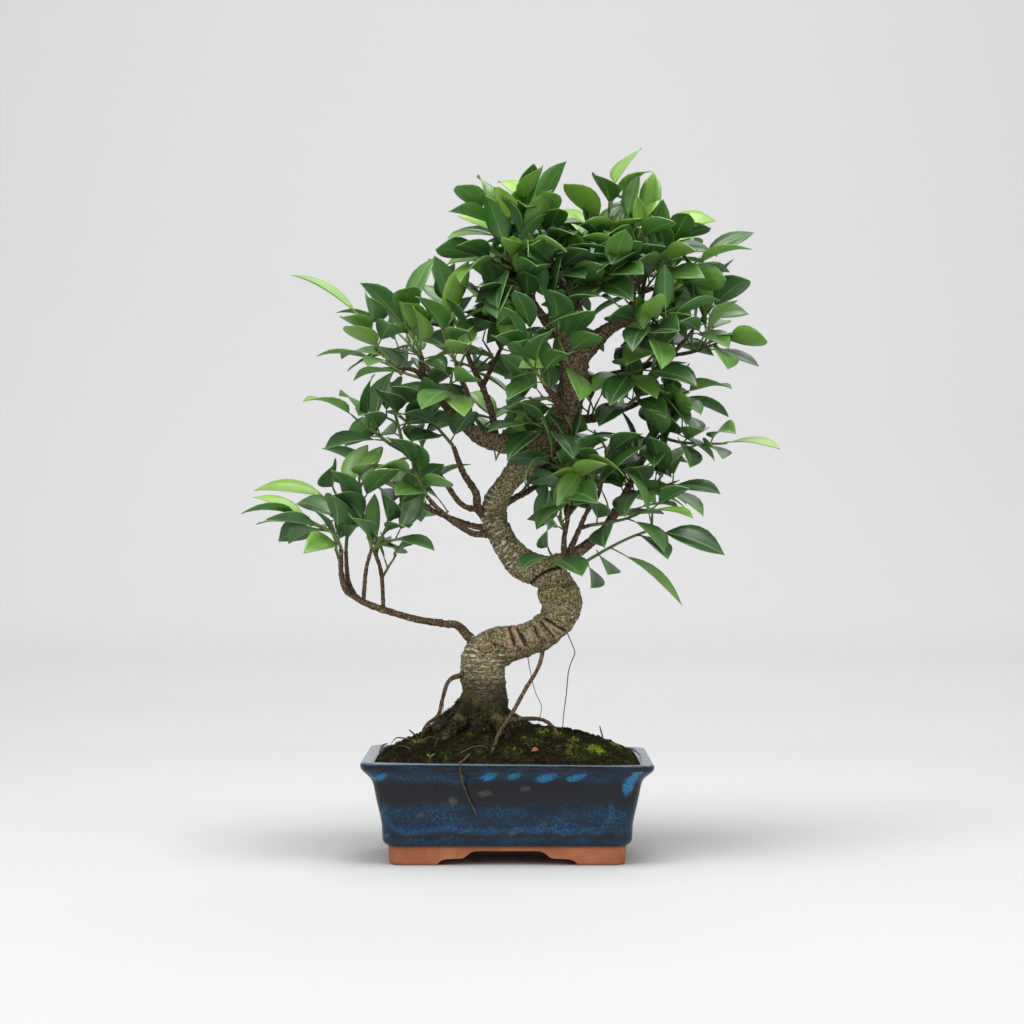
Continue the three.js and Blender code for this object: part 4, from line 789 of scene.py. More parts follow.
# ---- Leafy shoots ----
# A green shoot goes on from each branch end, with leathery leaves on short stalks along it and a pointed
# bud at its tip. A shoot on the back has only a number of leaves, which stand round its stem by rule.
FAR = "far"
SHOOTS = [  # name, foot of the woody spur under it, path (x, z, y), and each leaf: where its tip is seen,
            # how wide it looks, and FAR if it reaches towards the back and not the front
    # low left branch
    ("low_left_front", None, [(-120, 221, -22), (-125, 232, -25), (-134, 237, -27), (-145, 243, -30)],
     [(-146, 220, 15), (-128, 261, 19), (-158, 226, 7, FAR), (-174, 243, 9), (-181.5, 239.5, 6, FAR),
      (-183, 259.5, 7, FAR), (-192, 247.5, 5)]),
    ("low_left_up", None, [(-116.5, 219, -8), (-116, 236, -2), (-120, 252, 2), (-125, 263, 4)],
     [(-99, 238, 10), (-133, 257, 15, FAR), (-153, 255.5, 14, FAR), (-124, 272, 16), (-183, 264, 10, FAR),
      (-127, 282, 13)]),
    ("low_left_middle", None, [(-98, 221, -39), (-102, 238, -42), (-106, 254, -40), (-107, 272, -36)],
     [(-112, 244, 14), (-126, 262, 16, FAR), (-127, 278.5, 13), (-79, 281, 14), (-92, 297, 16, FAR),
      (-97, 284, 10)]),
    ("low_left_inner", None, [(-96, 220, -28), (-89, 233, -30), (-85, 242, -32), (-82, 250, -33)],
     [(-52.5, 220, 5), (-80, 218, 6, FAR), (-71, 237, 6), (-90, 262, 16), (-62, 242.5, 5, FAR),
      (-46, 283, 15), (-92, 265, 12, FAR)]),
    # middle left branches
    ("middle_left_tip", None, [(-85, 297, -34), (-98, 307, -37), (-108, 314, -39)],
     [(-132, 293.5, 10), (-107, 319, 14), (-82, 350, 16, FAR), (-98, 348, 6), (-120, 334, 14, FAR),
      (-147, 330, 5)]),
    ("middle_left_inner", None, [(-76, 299, -26), (-79, 311, -20), (-82, 321, -14)],
     [(-93, 303, 14, FAR), (-50, 326, 14), (-51, 313, 13), (-91, 336, 14), (-58, 340, 15, FAR),
      (-80, 345, 16, FAR)]),
    ("middle_left_low", None, [(-58, 259, -38), (-65, 272, -42), (-68, 281, -45)],
     [(-80, 262, 10), (-42, 270, 13), (-70, 300, 16, FAR), (-97, 279, 6), (-86, 303, 14), (-62, 303, 10)]),
    ("middle_left_rise", None, [(-39, 295, -14), (-50, 308, -18), (-58, 316, -20)],
     [(-24, 322, 16), (-70, 300, 10), (-80, 319, 5), (-60, 345, 18, FAR), (-83, 339, 13)]),
    # upper left branch
    ("left_tip", None, [(-79, 352, -12), (-90, 362, -15), (-96, 372, -16), (-101, 384, -17)],
     [(-101, 355.5, 6), (-120, 360, 6, FAR), (-117, 383, 14), (-84, 384, 19), (-119, 390, 6),
      (-101, 405, 18), (-155, 420, 6, FAR)]),
    ("left_upper", None, [(-62, 361, 0), (-69, 375, 3), (-76, 385, 5)],
     [(-68, 395, 13), (-50, 388, 14, FAR), (-74, 400, 14), (-105, 415, 14), (-53, 433, 15, FAR),
      (-70, 412, 16)]),
    ("left_centre", None, [(-37, 355, -22), (-43, 369, -25), (-47, 379, -26)],
     [(-28, 370, 13), (-62, 374, 14, FAR), (-28, 379, 10), (-66, 404, 13), (-36, 408, 15, FAR),
      (-28, 429, 16)]),
    ("left_low", (-42, 322, -10), [(-42, 332, -18), (-41, 340, -24), (-40, 347, -29)],
     [(-31, 318, 13), (-62, 322, 13), (-24, 345, 14), (-64, 356, 16, FAR), (-43, 372, 15)]),
    ("left_mid_back", None, [(-31, 367, 18), (-36, 382, 22), (-40, 392, 26)],
     [(-12, 385, 14), (-58, 390, 16, FAR), (-24, 405, 16), (-60, 412, 16, FAR), (-40, 428, 16)]),
    ("left_mid_front", None, [(-4, 367, 19), (-6, 381, 16), (-10, 391, 14)],
     [(-33, 393, 10), (14, 388, 16, FAR), (-34, 414, 13), (8, 412, 16), (-14, 428, 16)]),
    # middle of the tree, in front of the trunk
    ("centre_front", None, [(27, 339, -52), (20, 350, -60), (14, 356, -63)],
     [(0, 331, 10), (44, 362, 15), (0, 347, 16, FAR), (30, 378, 16), (6, 372, 15), (-9, 376, 16)]),
    ("centre_low", (35, 302, -4), [(32, 305, -15), (26, 309, -24), (18, 312, -31)],
     [(48, 288, 14), (0, 287, 13), (2, 331, 7), (-14, 306, 6), (-9, 322, 10)]),
    ("centre_up", (47, 346, -5), [(44, 352, -17), (42, 360, -22), (38, 370, -27)],
     [(54, 330, 15), (8, 352, 15), (66, 376, 16), (-4, 372, 16), (62, 395, 16), (32, 410, 14)]),
    # crown, left to right
    ("crown_left_tip", None, [(5, 437, -14), (-1, 447, -15), (-8, 453, -16), (-16, 459, -17)],
     [(24, 452, 18, FAR), (-43, 447, 6), (-5, 483, 17), (-43, 466, 10), (-20, 491, 14, FAR),
      (-36, 484, 17)]),
    ("crown_left_low", (9, 421, -14), [(4, 423, -15), (-4, 426, -16), (-15, 430, -17)],
     [(-8, 396, 14), (-5, 447, 15, FAR), (-35, 415, 7), (-36, 442, 13), (-28, 398, 16), (-52, 438, 16)]),
    ("crown_left_inner", (15.5, 406, -13), [(10, 408, -17), (4, 410, -20), (-4, 412, -24)],
     [(22, 428, 16), (-8, 388, 14), (-10, 434, 16, FAR), (-28, 404, 16), (-34, 421, 14)]),
    ("crown_top", None, [(32, 432, 6), (26, 446, 3), (20, 456, 0), (14, 466, -3)],
     [(48, 449, 10), (38, 467, 20), (2, 470, 14), (33, 480, 18), (41, 502, 14), (-6, 488, 16, FAR),
      (24, 498, 14)]),
    ("crown_top_front", (39, 410, 10), [(37, 414, 3), (35, 421, -5), (36, 429, -11)],
     [(56, 417, 10), (14, 414, 10), (58, 438, 14), (16, 442, 14), (49, 450, 6), (36, 462, 14)]),
    ("crown_right_top", None, [(67, 434, 16), (70, 450, 16), (73, 463, 15), (76, 477, 14)],
     [(40, 457.5, 7), (97, 459, 13), (41, 486, 17), (94, 468, 14, FAR), (64, 492, 14), (103, 495.5, 6),
      (97, 510, 11, FAR)]),
    ("crown_right_low", (58, 407.5, 12.5), [(63, 411, 8), (68, 415, 2), (74, 420, -3)],
     [(52, 402, 14), (90, 402, 16), (60, 437, 19), (98, 420, 14), (76, 446, 14)]),
    ("crown_right_mid", None, [(91, 430, 0), (93, 443, -3), (97, 451, -5)],
     [(75, 428, 13), (116, 432, 14, FAR), (72, 450, 14), (120, 458, 13), (88, 472, 16, FAR),
      (107, 478, 13)]),
    ("crown_right_tip", None, [(107, 411, 10), (110, 424, 9), (114, 434, 8), (120, 443, 7)],
     [(142, 418, 14), (92, 430, 14, FAR), (136, 438, 13), (104, 462, 13), (152, 434, 12, FAR),
      (131, 465, 20), (147, 453.5, 5)]),
    ("crown_far_right", (102, 397, 9.3), [(109, 401, 7), (118, 408, 4), (128, 418, 0), (136, 428, -3)],
     [(98, 380, 14), (146, 398, 16, FAR), (158, 416, 16), (116, 436, 14), (176, 438, 5),
      (178, 450, 13, FAR)]),
    # right side, top to bottom
    ("right_fork", (90, 389, 7), [(94, 386, -1), (99, 380, -6), (104, 373, -10)],
     [(72, 391, 7), (104, 400, 14), (90, 366, 16), (124, 378, 16), (112, 352, 13)]),
    ("right_big", None, [(130, 374, 24), (138, 385, 16), (144, 391, 12)],
     [(160, 366, 13), (112, 394, 14), (175, 392, 15, FAR), (131, 427, 14), (175, 417, 20)]),
    ("right_upper", None, [(140, 365, 15), (150, 369, 8), (156, 373, 4)],
     [(181.5, 353, 9), (140, 386, 9), (160, 352, 8), (189, 373, 8), (165, 395, 10, FAR)]),
    ("right_inner", (107, 355.5, 30), [(109, 361, 22), (111, 368, 14), (113, 376, 6)],
     [(86, 356, 13), (136, 372, 16, FAR), (98, 386, 16), (132, 390, 14), (108, 408, 15)]),
    ("right_mid", (77, 347, 32), [(81, 347, 24), (85, 348, 14), (90, 349, 4), (97, 350, -4)],
     [(62, 336, 14), (89, 372, 14), (108, 330, 16), (74, 326, 16), (114, 370, 16, FAR), (137, 341, 15)]),
    ("right_mid_tip", None, [(103, 330, 40), (116, 332, 31), (125, 332, 24)],
     [(104, 312, 14), (130.5, 312, 7), (113, 348, 16), (140, 319, 10), (128, 352, 14, FAR), (160, 318, 7),
      (162, 338, 6)]),
    ("right_mid_inner", (83, 322, 41.5), [(87, 325, 33), (90, 328, 22), (94, 330, 12)],
     [(66, 310, 16), (110, 340, 16), (72, 336, 16), (114, 316, 16), (98, 352, 14)]),
    ("right_mid_low", None, [(109, 302, 30), (125, 298, 25), (140, 297, 20), (154, 297, 16)],
     [(112, 322, 14), (132, 280, 13), (142, 308, 13), (126, 320, 16, FAR), (156, 287, 7), (164, 306, 7),
      (197, 294, 6)]),
    ("low_right_rise", None, [(68, 270, -6), (70, 283, -6), (72, 292, -6)],
     [(46, 292, 14), (98, 288, 16, FAR), (37, 332, 13), (97, 306, 13), (72, 332, 16)]),
    ("low_right_outer", (86, 263, 25.5), [(93, 262, 20), (102, 263, 14), (112, 266, 8), (120, 269, 4)],
     [(84, 246, 10), (91, 282, 20), (142, 246.5, 7), (104, 304, 18), (153.5, 262.5, 10),
      (127, 296, 14, FAR)]),
    ("low_right_shoot", (52.5, 236, -4.2), [(59, 238, -7), (72, 240, -10), (86, 243, -13), (100, 249, -16)],
     [(62, 258, 16), (69, 224, 15), (84, 265, 14), (113.5, 219.5, 10), (97, 272, 15, FAR),
      (134, 244.5, 4)]),
    ("low_right_large", (40, 207, -6),
     [(50, 208, -12), (60, 214, -15), (72, 221, -18), (88, 229, -20), (104, 235, -22)],
     [(62, 194, 8), (74, 204, 8), (126, 180, 7), (72, 246, 8, FAR), (116, 214, 10), (157, 217, 17)]),
    ("low_right_up", None, [(45, 252, -10), (42, 267, -12), (38, 281, -14)],
     [(22, 240, 7), (64, 256, 16), (72, 282, 13), (14, 268, 14, FAR), (56, 302, 14), (-1, 286.5, 13)]),
    ("elbow_bud", (33, 212, -8), [(34, 213, -19.5), (33, 215, -24), (31, 218, -28)],
     [(9, 207, 7), (54, 201, 8), (32, 240, 8)]),
    # back of the tree
    ("back_crown_tip", None, [(27, 411, 70), (18, 428, 82), (12, 440, 86)], 5),
    ("back_crown_side", (39, 399, 42), [(46, 402, 48), (54, 412, 56), (60, 424, 62)], 5),
    ("back_crown_right", None, [(100, 419, 66), (106, 436, 74), (110, 446, 78)], 5),
    ("back_crown_far", (97.3, 406, 49), [(106, 409, 54), (117, 414, 60), (126, 422, 66)], 5),
    ("back_left_tip", None, [(-60, 355, 55), (-70, 368, 64), (-78, 376, 68)], 5),
    ("back_left_side", (-53, 342, 29), [(-61, 344, 36), (-74, 348, 42), (-86, 354, 46)], 5),
    ("back_middle_tip", None, [(-15, 307, 69), (-28, 320, 80), (-36, 328, 84)], 5),
    ("back_middle_side", (-5, 298, 43), [(-2, 304, 49), (4, 314, 56), (8, 326, 62)], 5),
    ("back_inner", None, [(31, 275, 61), (44, 290, 70), (50, 300, 74)], 5),
    ("back_low_left", None, [(-63, 253, 61), (-80, 266, 66), (-92, 274, 68)], 5),
    ("back_right", None, [(100, 355, 73), (112, 368, 80), (122, 374, 82)], 5),
]
STEM_RADIUS = 1.3
FIT_GAP = 0.35
BUD_LENGTH = 5
LEAF_LENGTH = (46, 57)
LEAF_SLIMNESS = 0.44
STALK = 0.2
PACKED_HALF_THICKNESS = 0.4
GOLDEN_ANGLE = 2.39996
UP = Vector((0, 0, 1))
PACKED_SEED, TONE_SEED = 2417, 57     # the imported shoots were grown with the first
TRIES = [  # how a leaf was laid where the first way met another: its reach and its roll
    (1, 0), (1, 0.35), (1, -0.35), (0.75, 0), (0.75, 0.4), (0.75, -0.4), (1.2, 0.2), (1.2, -0.3),
    (0.45, 0.2), (0.45, -0.3), (-0.5, 0), (-0.5, 0.4), (-0.8, 0), (-0.8, -0.4), (-1, 0.3), (-1.1, -0.2),
]


def draws_from(seed):
    """A row of draws between two numbers, the same each time."""
    state = [seed]

    def draw(low, high):
        state[0] = (state[0] * 1664525 + 1013904223) % 4294967296
        return low + (high - low) * state[0] / 4294967296
    return draw


def point_along(points, share):
    lengths = [(after - before).length for before, after in zip(points, points[1:])]
    rest = share * sum(lengths)
    for index, length in enumerate(lengths):
        if rest <= length or index == len(lengths) - 1:
            return points[index].lerp(points[index + 1], rest / length)
        rest -= length


def leaf_lie(base, leaf, reach, roll):
    """Where a leaf ends, the way across its blade, and the way its upper face looks."""
    if "way" in leaf:
        tip = base + Matrix.Rotation((1 - reach) * 0.6, 3, UP) @ leaf["way"] * leaf["length"]
        across = (tip - base).normalized().cross(UP).normalized()
    else:
        tip_x, tip_z, shown_width, *far = leaf["tip"]
        abreast = seen(tip_x, tip_z, base.y)
        shown = (abreast - base).length
        hidden = math.sqrt(max(leaf["length"] ** 2 - shown ** 2, (0.15 * leaf["length"]) ** 2))
        tip = seen(tip_x, tip_z, base.y + (1 if far else -1) * reach * hidden)
        along = (tip - base).normalized()
        flat = along.cross(Vector((0, 1, 0))).normalized()
        deep = along.cross(flat)
        tilt = math.acos(min(1, shown_width / leaf["width"]))
        one, other = [flat * math.cos(angle) + deep * math.sin(angle) for angle in (tilt, -tilt)]
        across = one if abs(one.cross(along).z) > abs(other.cross(along).z) else other
    along = (tip - base).normalized()
    across = Matrix.Rotation(roll, 3, along) @ across
    up = across.cross(along)
    if up.z < 0:
        across, up = -across, -up
    return tip, across, up


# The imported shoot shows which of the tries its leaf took, or that no leaf fitted there.
leaf_draw = draws_from(PACKED_SEED)
stems, leaves = [], []
for name, spur, path, given in SHOOTS:
    start, *rest = [seen(*row) for row in path]
    if spur:
        aim = (start - seen(*spur)).normalized()
        stems.append(("tree_wood", [seen(*spur), start], [1.2 * STEM_RADIUS, 1.1 * STEM_RADIUS]))
    else:
        rows = next(rows for rows in BRANCHES if rows[-1][:3] == path[0])
        aim = (seen(*rows[-1][:3]) - seen(*rows[-2][:3])).normalized()
    points = [start + aim * FIT_GAP, *rest]
    bud = points[-1] + (points[-1] - points[-2]).normalized() * BUD_LENGTH
    radii = [STEM_RADIUS * (1 - 0.3 * index / len(rest)) for index in range(len(points))]
    stems.append((name, [*points, bud], [*radii, 0.25]))
    packed = finder_of([vert.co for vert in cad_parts["spray_" + name].data.vertices])
    count = given if isinstance(given, int) else len(given)
    for index in range(count):
        leaf = {"shoot": name, "length": leaf_draw(*LEAF_LENGTH)}
        base = point_along(points, 0.12 + 0.86 * index / (count - 1))
        leaf["width"] = leaf["length"] * LEAF_SLIMNESS * leaf_draw(0.92, 1.08)
        leaf["bow"] = leaf_draw(0.03, 0.1)
        around = leaf_draw(-0.4, 0.4) + index * GOLDEN_ANGLE
        rise = leaf_draw(-0.35, 0.45)
        if isinstance(given, int):
            lead = (points[-1] - points[0]).normalized() * 0.5
            leaf["way"] = (Vector((math.cos(around) * math.cos(rise), math.sin(around) * math.cos(rise),
                                   math.sin(rise))) + lead).normalized()
        else:
            leaf["tip"] = given[index]
        for reach, roll in TRIES:
            tip, across, up = leaf_lie(base, leaf, reach, roll)
            if packed.find(place(*(tip + up * PACKED_HALF_THICKNESS)))[2] < 0.05 * MM:
                leaf.update(base=base, end=tip, across=across, up=up)
                leaves.append(leaf)
                break

BLADE_PROFILE = [  # share of the blade from stalk to tip, half its width over the leaf's width
    (0.0, 0.03), (0.08, 0.16), (0.19, 0.315), (0.33, 0.42), (0.48, 0.455), (0.63, 0.425), (0.77, 0.325),
    (0.88, 0.185), (0.95, 0.075), (1.0, 0.005),
]
BLADE_ROWS = len(BLADE_PROFILE) - 1
BLADE_THICKNESS = 0.42
STALK_RADIUS = 0.62
YOUNG, PALE_WITH_SHEEN, FRESH, GREY, DEEP_AND_SHADED = 0.95, 0.75, 0.6, 0.4, 0.08
LEAF_TONES_WITH_PAINTED_LIGHT = {  # where the tips of leaves of a tone are seen: the rest are given one by chance. Besides age, these tones paint light: pale leaves are painted lighter as a painted sheen where they catch the light, deep ones darker as painted shade inside the crown
    YOUNG: [(-183, 259.5), (-117, 382), (-74, 398.5), (-28, 371), (-27, 430), (-5, 482), (49, 444),
            (97, 459), (92, 442), (41, 485), (58, 413), (88, 418), (105, 475), (136, 437), (131, 428),
            (199, 294), (126, 295), (119, 266), (66, 279), (72, 305), (97, 262), (25, 364)],
    PALE_WITH_SHEEN: [(-183, 264), (-147, 330), (-97, 279), (-157, 422), (-119, 389), (-35, 407), (5, 466), (-43, 447),
           (-9, 417), (26, 496), (49, 490), (98, 510), (103, 495.5), (176, 438), (189, 373), (150, 311),
           (105, 328), (134, 244.5), (131.8, 177), (15, 317), (20, 305)],
    FRESH: [(-146, 220), (-92, 297), (-34, 414), (-31, 319), (8, 346), (-35, 415), (34, 391), (158, 416.5),
            (162, 337.5), (96, 332)],
    GREY: [(-181.5, 239.5), (-138, 238), (-79, 281), (-93, 305), (-53, 433), (-67, 405), (-28, 376),
           (41, 502), (113, 450), (130.5, 312), (62, 372)],
    DEEP_AND_SHADED: [(-156, 241), (-128, 261), (-133, 256), (-99, 238), (-92, 262), (-46, 283), (-71, 237),
           (-107, 317), (-132, 293.5), (-80, 303), (-105, 415), (-70, 405), (-33, 392), (-43, 357),
           (-83, 339), (5, 446), (-36, 442), (-16, 402), (38, 495), (38, 465), (48, 449), (56, 417),
           (-10, 375), (66, 486), (50, 466), (94, 466), (67, 436), (75, 427), (72, 391), (131, 463),
           (103, 465), (175, 417), (181.5, 353), (113, 380), (111, 408), (136.5, 341.5), (113, 342),
           (126, 342), (98, 306), (73, 328), (89, 368), (153.5, 262.5), (91, 273), (105, 304), (92, 288),
           (69, 226), (43, 254), (9, 207), (31, 340), (51, 362), (15, 314), (-0.5, 286.5)],
}
TONE_REACH = 7
OUTER_TONES = (0.04, 0.12, 0.2, 0.3, 0.4, 0.52, 0.68)


def add_stem(shape, points, radii, sides, tone):
    """A green stem or stalk in a spray's mesh."""
    first = len(shape.faces)
    limb_body(shape, points, radii, sides)
    shape.faces.ensure_lookup_table()
    for face in shape.faces[first:]:
        face.smooth = True
        face[shape.faces.layers.float["tone"]] = tone
        face.material_index = 2


def add_leaf(shape, leaf, rng):
    """One leaf in a spray's mesh: a folded, bowed blade of real thickness on a round stalk."""
    base, tip, across, up = leaf["base"], leaf["end"], leaf["across"], leaf["up"]
    length, width, bow = leaf["length"], leaf["width"], leaf["bow"]
    small = leaf.get("small", 1)
    reach = tip - base
    fold, curl = rng.uniform(0.12, 0.42), rng.uniform(-0.01, 0.06)
    wave, wave_at = rng.uniform(0.0, 0.5) * small, rng.uniform(0, 6)
    uv_layer = shape.loops.layers.uv.verify()
    tone_layer = shape.faces.layers.float["tone"]

    def on_leaf(along, side, half_width, lift=0.0):
        rise = 4 * along * (1 - along) * bow * length - curl * length * max(0, along - 0.7) ** 2 * 11
        return base + reach * along + across * side * half_width + up * (rise + lift)

    grid = bmesh.ops.create_grid(shape, x_segments=BLADE_ROWS, y_segments=4, size=1.0)["verts"]
    for vert in grid:
        side = vert.co.y
        share, half = BLADE_PROFILE[round((vert.co.x + 1) / 2 * BLADE_ROWS)]
        half *= width
        lift = fold * half * abs(side) ** 1.4 + wave * abs(side) * math.sin(share * 7 + wave_at + side)
        vert.co = place(*on_leaf(STALK + (1 - STALK) * share, side, half, lift))
    blade = list({face for vert in grid for face in vert.link_faces})
    bmesh.ops.recalc_face_normals(shape, faces=blade)
    if sum((face.normal for face in blade), Vector()).dot(up) < 0:
        bmesh.ops.reverse_faces(shape, faces=blade)
    solid = bmesh.ops.solidify(shape, geom=blade, thickness=BLADE_THICKNESS * small * MM)["geom"]
    for face in {item for item in solid if isinstance(item, bmesh.types.BMFace)} | set(blade):
        face.normal_update()
        face.smooth = True
        face[tone_layer] = leaf["tone"]
        face.material_index = 0 if face.normal.dot(up) > 0 else 1
        for loop in face.loops:
            off = (loop.vert.co - place(*base)) / MM
            loop[uv_layer].uv = (off.dot(across) / width + 0.5, off.dot(reach) / reach.length_squared)
    stalk_points = [on_leaf(along, 0, 0) for along in (-0.01, 0.07, 0.14, STALK + 0.02)]
    radii = [STALK_RADIUS * small * share for share in (1.15, 1, 1, 0.55)]
    add_stem(shape, stalk_points, radii, 6, leaf["tone"])


def leafy_piece(name, stands_for, stems, leaves, finishes, rng):
    """A piece of leaves and green stems. A stem has its points, its radii, its sides and its tone."""
    shape = bmesh.new()
    shape.faces.layers.float.new("tone")
    for stem in stems:
        add_stem(shape, *stem)
    for leaf in leaves:
        add_leaf(shape, leaf, rng)
    fit(object_from(shape, name, smooth=False), "leaf", stands_for, *finishes)


# A fig leaf is leathery and glossy above, dull and paler below, with a pale midrib and fine side veins that
# curve to the edge. Its tone goes from the dark green of old leaves to the yellow-green of young ones; for
# the listed leaves it also carries painted light, darker as painted shade inside the crown and paler as a
# painted sheen where a leaf catches the light.


def leaf_surface(name, colours, vein_colour, vein_share, roughness, specular, veins_sunk):
    finish, tree, skin = new_material(name)
    tone = node(tree, "Attribute", attribute_name="tone").outputs["Fac"]
    uv = node(tree, "UVMap").outputs["UV"]
    width_way, length_way, _ = node(tree, "SeparateXYZ", Vector=uv).outputs
    cloud = noise_at(millimetres(tree), 11, 3, 0.6)
    blade = ramp(plus(tone, times(minus(cloud, 0.5), 0.35)), colours)
    off_middle = maths("ABSOLUTE", minus(width_way, 0.5))
    rib = ramp(off_middle, [(0.0, 1.0), (0.018, 0.9), (0.038, 0.0)])
    rib = times(rib, ramp(length_way, [(0.15, 1.0), (0.97, 0.35)]))
    slant = minus(times(length_way, 26.0), times(maths("POWER", off_middle, 0.85), 13.0))
    veins = ramp(maths("PINGPONG", slant, 0.5), [(0.0, 1.0), (0.05, 0.75), (0.16, 0.0)])
    veins = times(veins, ramp(off_middle, [(0.30, 0.5), (0.46, 0.1)]))
    hue = mixed(times(veins, vein_share), blade, vein_colour)
    hue = mixed(times(rib, 0.85), hue, (0.28, 0.48, 0.15))
    # a thin pale line round the blade's edge: a painted highlight where the edge catches the light
    hue = mixed(ramp(off_middle, [(0.448, 0.0), (0.47, 0.8)]), hue, (0.26, 0.45, 0.11))
    relief = minus(times(cloud, 0.4), plus(veins, rib))
    dress(skin, hue, roughness, specular, bump=(0.3, 0.4, relief if veins_sunk else times(relief, -1.0)))
    glow = node(tree, "BsdfTranslucent", Color=mixed(0.55, hue, (0.28, 0.52, 0.03)))
    blend = node(tree, "MixShader", _0=0.28, _1=skin.outputs[0], _2=glow.outputs[0])
    put(blend.outputs[0], tree.nodes["Material Output"].inputs["Surface"])
    return finish


leaf_top = leaf_surface("leaf_upper_face", [
    (0.0, (0.020, 0.074, 0.019)), (0.4, (0.090, 0.235, 0.045)), (0.7, (0.215, 0.45, 0.066)),
    (1.0, (0.37, 0.63, 0.09))], (0.14, 0.31, 0.075), 0.30, 0.33, 0.9, veins_sunk=True)
leaf_under = leaf_surface("leaf_under_face", [
    (0.0, (0.052, 0.15, 0.038)), (0.4, (0.098, 0.26, 0.065)), (0.7, (0.19, 0.40, 0.08)),
    (1.0, (0.32, 0.56, 0.10))], (0.16, 0.32, 0.11), 0.16, 0.5, 0.3, veins_sunk=False)

shoot_skin, tree, skin = new_material("green_shoot")
tone = node(tree, "Attribute", attribute_name="tone").outputs["Fac"]
streak = noise_at(millimetres(tree), 2.5, 3, 0.6)
hue = ramp(tone, [(0.0, (0.055, 0.075, 0.02)), (0.5, (0.12, 0.19, 0.035)), (1.0, (0.22, 0.36, 0.05))])
hue = mixed(ramp(streak, [(0.45, 0.0), (0.7, 0.6)]), hue, (0.13, 0.08, 0.035))
dress(skin, hue, 0.45, bump=(0.4, 0.3, streak))
LEAFY = (leaf_top, leaf_under, shoot_skin)

rng = random.Random(TONE_SEED)
for leaf in leaves:
    leaf["tone"] = rng.choice(OUTER_TONES) + rng.uniform(-0.04, 0.04)
    # a listed leaf takes the table's tone, which holds painted sheen and painted shade along with its age
    if "tip" in leaf:
        gap, tone = min(((leaf["tip"][0] - x) ** 2 + (leaf["tip"][1] - z) ** 2, tone)
                        for tone, tips in LEAF_TONES_WITH_PAINTED_LIGHT.items() for x, z in tips)
        if gap < TONE_REACH ** 2:
            leaf["tone"] = tone + rng.uniform(-0.05, 0.05)

for name, *_ in SHOOTS:
    leafy_piece("leafy_" + name, "spray_" + name,
                [(*curve_through(points, radii, 3.0), 7, 0.55)
                 for owner, points, radii in stems if owner == name],
                [leaf for leaf in leaves if leaf["shoot"] == name], LEAFY, rng)
spur_shape = bmesh.new()
for owner, points, radii in stems:
    if owner == "tree_wood":
        limb_body(spur_shape, points, radii, 7)
spurs = object_from(spur_shape, "woody_spurs")
give_grain(spurs, 0.0, 0.0)
fit(spurs, "bark", "tree_wood", bark)

# Further in, the branches carry many short shoots that the eye takes in only as depth: each has a few
# smaller leaves. They grow by rule from the thin branches, and stay inside the outline of the foliage.
INNER_SHOOTS = 120
INNER_LENGTH = (36, 50)
OUTLINE_REACH = 8.5        # how near, as seen, an inner leaf stays to the leaves above
ELBOW_ROOM = 6.5           # and how far its middle stays from every other leaf's
REAR_LIMIT = 116           # no inner leaf reaches further back than the outer shoots
INNER_WOOD = 4.2           # inner shoots grow from wood thinner than this
INNER_TONES = (0.0, 0.08, 0.2, 0.35, 0.5, 0.65, 0.85)
INNER_TRIES = 2500
LEAVES_ON_INNER_SHOOT = 5
INNER_STEM_RADII = [1.15, 0.95, 0.6]
INNER_PIECES = 9
INNER_SEED = 1207


def as_seen(point):
    spread = 1 + point.y / VIEW_DISTANCE
    return Vector((EYE_SIDE + (point.x - EYE_SIDE) / spread, (point.z - EYE_HEIGHT) / spread + EYE_HEIGHT, 0))


outline_points, middles = [], []
for leaf in leaves:
    along = leaf["end"] - leaf["base"]
    outline_points += [as_seen(leaf["base"] + along * share) for share in (0.1, 0.3, 0.5, 0.7, 0.88, 1.0)]
    middles.append(leaf["base"] + along * 0.62)
outline = finder_of(outline_points)
rng = random.Random(INNER_SEED)
inner_places = []
for rows in BRANCHES:
    points, radii = limb_curve(rows, 4)
    for index in range(len(points) // 4, len(points)):
        if radii[index] < INNER_WOOD:
            inner_places.append((points[index], (points[index] - points[index - 1]).normalized()))
for _, points, _ in stems:
    for before, point in zip(points, points[1:-1]):
        inner_places.append((point, (point - before).normalized()))


def left_out(spot, lead, in_front):
    """Whether a leaf would fill a part of the foliage where the photo shows trunk, branches or air."""
    x, z = spot.x, spot.y
    return ((-90 < x < 5 and z < 385 and (lead.y < 0.25 or rng.random() < 0.35))
            or (x < -85 and z < 300 and (in_front or rng.random() < 0.4))
            or (-125 < x < -10 and z > 310 and rng.random() < 0.4)
            or (25 < x < 82 and 280 < z < 392 and in_front)
            or (x > 25 and z < 250 and (lead.y < 0.1 or rng.random() < 0.3))
            or (x > 62 and z < 400 and rng.random() < 0.55)
            or (x > 70 and z > 330 and in_front and rng.random() < 0.4))


